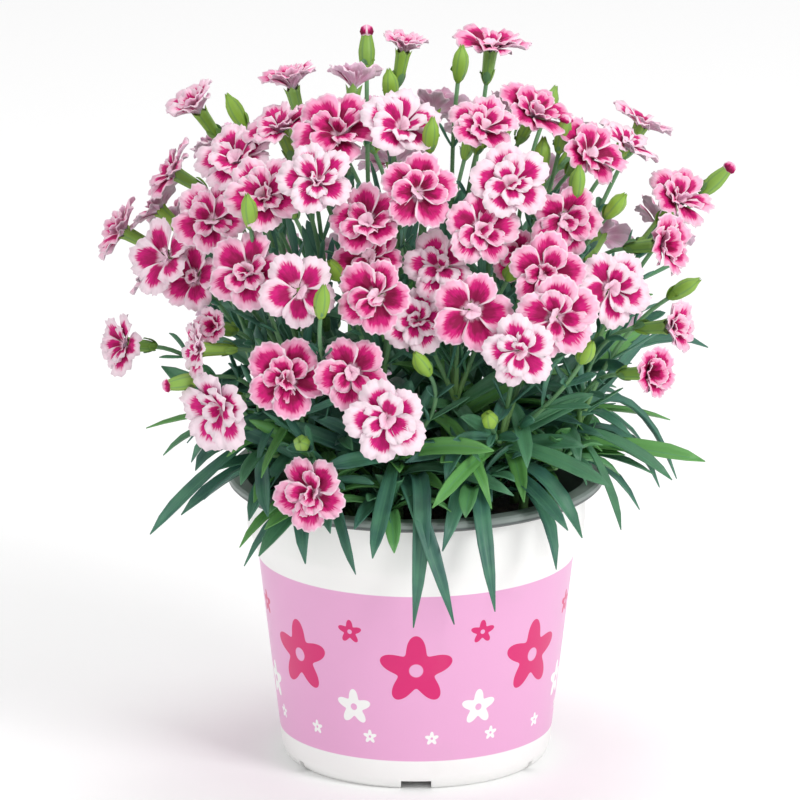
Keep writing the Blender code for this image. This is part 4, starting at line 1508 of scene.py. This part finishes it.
def add_stalk(pile, leaves, petals, head, fork, chance):
    """One stalk with its calyx or bud, the scales under it, and narrow pairs of leaves."""
    reach = (head.calyx_foot - fork).length
    route = (fork, head.calyx_foot - head.facing * (reach * STALK_BEND), head.calyx_foot)
    pile.add(tube_shape, tube_place(route, STALK_GIRTH), STALK_YOUTH)
    add_calyx(pile, petals, head, chance)
    add_scales(pile, head, chance)
    for share in LONG_STALK_PAIRS if reach > LONG_STALK else SHORT_STALK_PAIRS:
        node = curve_point(route, share)
        way = curve_way(route, share)
        turn = chance.uniform(0, math.pi)
        for sign in (1, -1):
            out = across_way(way, turn) * sign
            length = chance.uniform(*NARROW_LENGTH) * (1.1 - share)
            droop = UP * length * chance.uniform(*NARROW_DROOP)
            tip = node + (way * 0.95 + out * 0.5).normalized() * length - droop
            blade = (node, node + (way + out * 0.7).normalized() * length * 0.5, tip)
            width = chance.uniform(*NARROW_WIDTH)
            leaves.append((blade, way.cross(out).normalized(), width, chance.uniform(*NARROW_YOUTH)))


print("pairs of leaves on a long stalk", len(LONG_STALK_PAIRS))

# %% [markdown]
# ## Leaves
# Leaves stand in opposite pairs, each pair a quarter round from the last: narrow, channelled, pointed, and
# curved over by their weight. The long low ones arch over the rim and hang down the pot. The list of those
# repeats the frame's; the pairs follow the same random draws, and more leaves are added among them, with low
# tufts of young ones, because a real plant is denser than its solids. A leaf whose route would cut through
# the pot is arched higher until it clears the rim. A particle system would scatter the leaves, but not in
# pairs on their stems.

# %% Long low leaves
# Each is: the shoot it grows on, how far up its stem, its tip (x, y, z), how high it arches, and how far it
# swings to its left on the way.
APRON = (
    ("front", 0.35, (13, -78, 70), 30, -14),
    ("front", 0.15, (-1, -72, 67), 22, 10),
    ("right_front", 0.2, (27, -76, 74), 26, -9),
    ("left_front", 0.3, (-59, -62, 86), 16, 8),
    ("right_front", 0.15, (48, -66, 86), 18, 6),
    ("right_front", 0.4, (57, -52, 93), 22, -8),
    ("middle", 0.3, (9, -74, 95), 22, 12),
    ("left_front", 0.15, (-38, -66, 88), 14, -10),
    ("left_upper", 0.25, (-73, -36, 102), 22, 9),
    ("left_low", 0.35, (-76, -28, 110), 20, -8),
    ("left_upper", 0.5, (-57, -42, 97), 18, 10),
    ("right_low", 0.3, (77, -25, 95), 22, -6),
    ("right_low", 0.5, (84, -15, 100), 24, 8),
    ("right_low", 0.95, (90, -8, 101), 20, 12),
    ("right", 0.3, (83, 4, 102), 22, -10),
    ("right", 0.5, (101, 10, 143), 36, 8),
    ("back_right", 0.2, (62, 46, 88), 20, -8),
    ("back_right", 0.4, (80, 34, 100), 24, 10),
    ("back", 0.2, (24, 76, 78), 24, -12),
    ("back", 0.4, (-4, 80, 74), 28, 9),
    ("back_left", 0.2, (-40, 64, 84), 20, -9),
    ("back_left", 0.4, (-66, 44, 96), 24, 10),
    ("left", 0.3, (-78, 22, 98), 22, 8),
)
APRON_BEND = 0.6


def apron_leaf(route, share, tip, arch, swing=0.0):
    """A long low leaf that rises from its stem, clears the pot's rim and hangs down to its tip."""
    base = curve_point(route, share)
    end = Vector(tip)
    side = UP.cross(end - base).normalized()
    middle = base.lerp(end, APRON_BEND) + side * swing
    middle.z = max(base.z, POT_HEIGHT) + arch
    return (base, middle, end), side


print("long low leaves", len(APRON))

# %% Clearing the pot's rim
# A leaf is checked at so many points and lifted at most so often, each time by a step up and a step out.
CHECK_POINTS = 20
MOST_LIFTS = 40
LIFT_STEP = 2.0
OUT_STEP = 1.5
TIP_STEP = 1.5
WALL_MARGIN = 2
FLANGE_MARGIN = 1.5
RIM_MARGIN = 1.2


def spread_of(point):
    """How far a point is from the pot's axis."""
    return math.hypot(point.x, point.y)


def clears_pot(route):
    """Whether a leaf's route stays out of the pot's wall and flange and above the soil."""
    for step in range(1, CHECK_POINTS + 1):
        point = curve_point(route, step / CHECK_POINTS)
        over_wall = SOIL_RADIUS - WALL_MARGIN < spread_of(point) < RIM_RADIUS + FLANGE_MARGIN
        if over_wall and point.z < POT_HEIGHT + RIM_MARGIN:
            return False
        if spread_of(point) < SOIL_RADIUS and point.z < SOIL_MIDDLE:
            return False
    return True


def lifted(route):
    """The route of a leaf, arched higher and further out until it clears the pot."""
    base, middle, tip = route
    outward = Vector((tip.x, tip.y, 0)).normalized()
    for _ in range(MOST_LIFTS):
        if clears_pot((base, middle, tip)):
            break
        middle = middle + UP * LIFT_STEP
        if spread_of(middle) < spread_of(tip) + 4:
            middle = middle + outward * OUT_STEP
        if spread_of(tip) < RIM_RADIUS + 2.5:
            tip = tip + UP * TIP_STEP
    return base, middle, tip


print("a leaf is kept", RIM_MARGIN, "mm above the rim")

# %% Pairs on the stems
LEAF_SEED = 21
LEAF_LENGTH = 46.0
LEAF_LENGTH_PLAY = (0.75, 1.15)
LEAF_DROOP = (0.1, 0.45)
LEAF_PAIRS = (0.3, 0.6, 0.92)


def stem_leaves(route, chance):
    """The opposite pairs of leaves along one stem, as (route, side)."""
    blades = []
    turn = chance.uniform(0, math.pi)
    for share in LEAF_PAIRS:
        node = curve_point(route, share)
        way = (curve_point(route, share + 0.05) - curve_point(route, share - 0.05)).normalized()
        reach = LEAF_LENGTH * chance.uniform(*LEAF_LENGTH_PLAY)
        for sign in (1, -1):
            out = across_way(way, turn) * sign
            base = node + out * (STEM_RADIUS * 0.4) + way * sign * 0.3
            ahead = (way * 0.9 + out).normalized()
            droop = Vector((0, 0, -reach * chance.uniform(*LEAF_DROOP)))
            tip = base + ahead * reach + out * reach * 0.1 + droop
            blades.append(((base, base + ahead * (reach * 0.5), tip), way.cross(out).normalized()))
        turn += math.pi / 2
    return blades


print("leaves in pairs on a stem", 2 * len(LEAF_PAIRS))

# %% More leaves among them
# The spans say how far up its stem, how long and how steep each further pair is, and how much it droops,
# then the same for the low leaves: where on the stem, how far out and how high their tips, and their arch.
MORE_SEED = 33
MORE_PAIRS = 4
MORE_SHARE = (0.2, 0.9)
MORE_LENGTH = (26, 50)
MORE_STEEPNESS = (0.8, 1.5)
MORE_DROOP = (0.05, 0.35)
LOW_LEAVES = 2
LOW_SHARE = (0.05, 0.5)
LOW_TURN_PLAY = (-0.8, 0.8)
LOW_TIP_OUT = (62, 80)
LOW_TIP_HEIGHT = (102, 130)
LOW_ARCH = (12, 34)
MIDDLE_STEM = 12


def more_leaves(route, chance):
    """Further pairs on a stem, and low leaves that arch out over the rim beside it."""
    blades = []
    for pair in range(MORE_PAIRS):
        share = (pair + chance.uniform(*MORE_SHARE)) / MORE_PAIRS
        node = curve_point(route, share)
        way = curve_way(route, share)
        turn = chance.uniform(0, math.pi)
        for sign in (1, -1):
            out = across_way(way, turn) * sign
            reach = chance.uniform(*MORE_LENGTH)
            ahead = (way * chance.uniform(*MORE_STEEPNESS) + out).normalized()
            tip = node + ahead * reach + out * reach * 0.12 - UP * reach * chance.uniform(*MORE_DROOP)
            blades.append(((node, node + ahead * reach * 0.5, tip), way.cross(out).normalized()))
    foot = route[0]
    heading = math.atan2(foot.y, foot.x) if spread_of(foot) > MIDDLE_STEM else chance.uniform(-3.1, 3.1)
    for _ in range(LOW_LEAVES):
        angle = heading + chance.uniform(*LOW_TURN_PLAY)
        far = chance.uniform(*LOW_TIP_OUT)
        tip = (far * math.cos(angle), far * math.sin(angle), chance.uniform(*LOW_TIP_HEIGHT))
        blades.append(apron_leaf(route, chance.uniform(*LOW_SHARE), tip, chance.uniform(*LOW_ARCH)))
    return blades


print("further leaves on a stem", 2 * MORE_PAIRS + LOW_LEAVES)

# %% Young tufts
# Short side shoots low on the plant: the shoot each grows on, how far up its stem, and its middle (x, y, z).
TUFTS = (
    ("right_front", 0.08, (20, -50, 110)),
    ("front", 0.1, (-9, -52, 102)),
    ("right_low", 0.15, (48, -38, 114)),
    ("left_upper", 0.2, (-49, -36, 118)),
    ("left_front", 0.1, (-30, -48, 106)),
    ("right", 0.15, (56, -8, 110)),
    ("back_right", 0.15, (46, 36, 112)),
    ("back", 0.1, (12, 54, 108)),
    ("back_left", 0.15, (-24, 50, 112)),
    ("left", 0.15, (-56, 14, 112)),
)
TUFT_LEAVES = 11
TUFT_SEED = 17
TUFT_REACH = (24, 34)
TUFT_SHRINK = 0.45
TUFT_DROOP = 0.35
TUFT_LOWEST = 6
TUFT_STEEPER = 70
TUFT_ARCH = 0.3


def tuft_leaves(middle, chance):
    """Leaves that open out in a rosette from one point, the upper ones shorter and steeper."""
    blades = []
    turn = chance.uniform(*ANY_TURN)
    for index in range(TUFT_LEAVES):
        share = index / TUFT_LEAVES
        angle = turn + GOLDEN_TURN * index
        rise = math.radians(TUFT_LOWEST + TUFT_STEEPER * share)
        reach = chance.uniform(*TUFT_REACH) * (1 - TUFT_SHRINK * share)
        out = Vector((math.cos(angle), math.sin(angle), 0))
        ahead = out * math.cos(rise) + UP * math.sin(rise)
        tip = middle + ahead * reach - UP * (reach * TUFT_DROOP * (1 - share))
        bend = middle + (ahead + UP * TUFT_ARCH) * (reach * 0.5)
        blades.append(((middle, bend, tip), UP.cross(out)))
    return blades


print("tufts", len(TUFTS), "of", TUFT_LEAVES, "leaves")

# %% Growing the green of every shoot
# Widths in millimetres, and youths from 0 old to 1 young, as spans of a random draw or a choice.
APRON_WIDTH = (5.6, 7.4)
APRON_YOUTH = (0.0, 0.3)
LEAF_WIDTH = (4.4, 6.6)
LEAF_YOUTHS = (0.0, 0.1, 0.3, 0.55, 0.85)
TUFT_WIDTH = (4.6, 6.4)
TUFT_YOUTH = (0.45, 0.85)
TUFT_GIRTH = ((0.0, 1.0), (1.0, 0.9))
STEM_YOUTH = 0.15
TUFT_STEM_YOUTH = 0.6
TUFT_STEM_ARCH = 5
FORK_OVERLAP = 1.2
TWIST_PLAY = (-0.5, 0.5)
LEAF_THICKNESS = 0.35
pair_chance = random.Random(LEAF_SEED)
more_chance = random.Random(MORE_SEED)
tuft_chance = random.Random(TUFT_SEED)
chance = random.Random(STALK_SEED)
leaf_count = 0
for name, (route, heads) in plans.items():
    stems = Pile()
    tips = Pile()
    blades = []
    girth = [(share, radius * STEM_RADIUS) for share, radius in JOINTS]
    stems.add(tube_shape, tube_place(route, girth), STEM_YOUTH)
    fork = route[2] - (route[2] - route[1]).normalized() * FORK_OVERLAP
    for head in heads:
        add_stalk(stems, blades, tips, head, fork, chance)
    for low in APRON:
        if low[0] == name:
            blade = apron_leaf(route, *low[1:])
            blades.append((*blade, chance.uniform(*APRON_WIDTH), chance.uniform(*APRON_YOUTH)))
    for blade in stem_leaves(route, pair_chance) + more_leaves(route, more_chance):
        blades.append((*blade, chance.uniform(*LEAF_WIDTH), chance.choice(LEAF_YOUTHS)))
    for shoot, share, middle in TUFTS:
        if shoot == name:
            base = curve_point(route, share)
            middle = Vector(middle)
            bent = (base, base.lerp(middle, 0.5) + UP * TUFT_STEM_ARCH, middle)
            stems.add(tube_shape, tube_place(bent, TUFT_GIRTH), TUFT_STEM_YOUTH)
            for blade in tuft_leaves(middle, tuft_chance):
                blades.append((*blade, tuft_chance.uniform(*TUFT_WIDTH), tuft_chance.uniform(*TUFT_YOUTH)))
    leaves = Pile()
    for blade_route, side, width, youth in blades:
        twist = chance.uniform(*TWIST_PLAY)
        leaves.add(blade_shape, blade_place(lifted(blade_route), side, width, twist=twist), youth)
    leaf_count += len(blades)
    ride(stems.build("stems_" + name, [stem_finish]), "foliage", "shoot_" + name)
    ride(leaves.build("leaves_" + name, [leaf_finish], LEAF_THICKNESS), "foliage", "shoot_" + name)
    if tips.points:
        ride(tips.build("bud_tips_" + name, [petal_finish]), "petals", "shoot_" + name)
print("leaves", leaf_count)

# %% [markdown]
# ## The floor
# A wide pale floor carries the pot. It isn't part of the object, so it is marked as stage.

# %% Floor
FLOOR_METRES = 30
CLOUD_FINENESS = 3.0
FLOOR_WHITE = tint("FFFFFF")
FLOOR_SHADE = tint("F4F4F4")
bpy.ops.object.select_all(action="DESELECT")
bpy.ops.mesh.primitive_plane_add(size=FLOOR_METRES, location=(0, 0, 0))
floor = bpy.context.object
floor.name = "studio_floor"
floor_finish = Finish("studio_white", 0.9)
clouds = floor_finish.speckle(floor_finish.body(), CLOUD_FINENESS)
floor_finish.set("Base Color", floor_finish.blend(clouds * 0.1, FLOOR_WHITE, FLOOR_SHADE))
floor.data.materials.append(floor_finish.material)
floor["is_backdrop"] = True
print("floor", floor.name)

# %% Sizes, and the end
low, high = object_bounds()
meshes = [piece.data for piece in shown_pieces() if piece.type == "MESH"]
triangles = sum(len(face.vertices) - 2 for mesh in meshes for face in mesh.polygons)
print("triangles", triangles, "spread", [round((b - a) / MM, 1) for a, b in zip(low, high)])
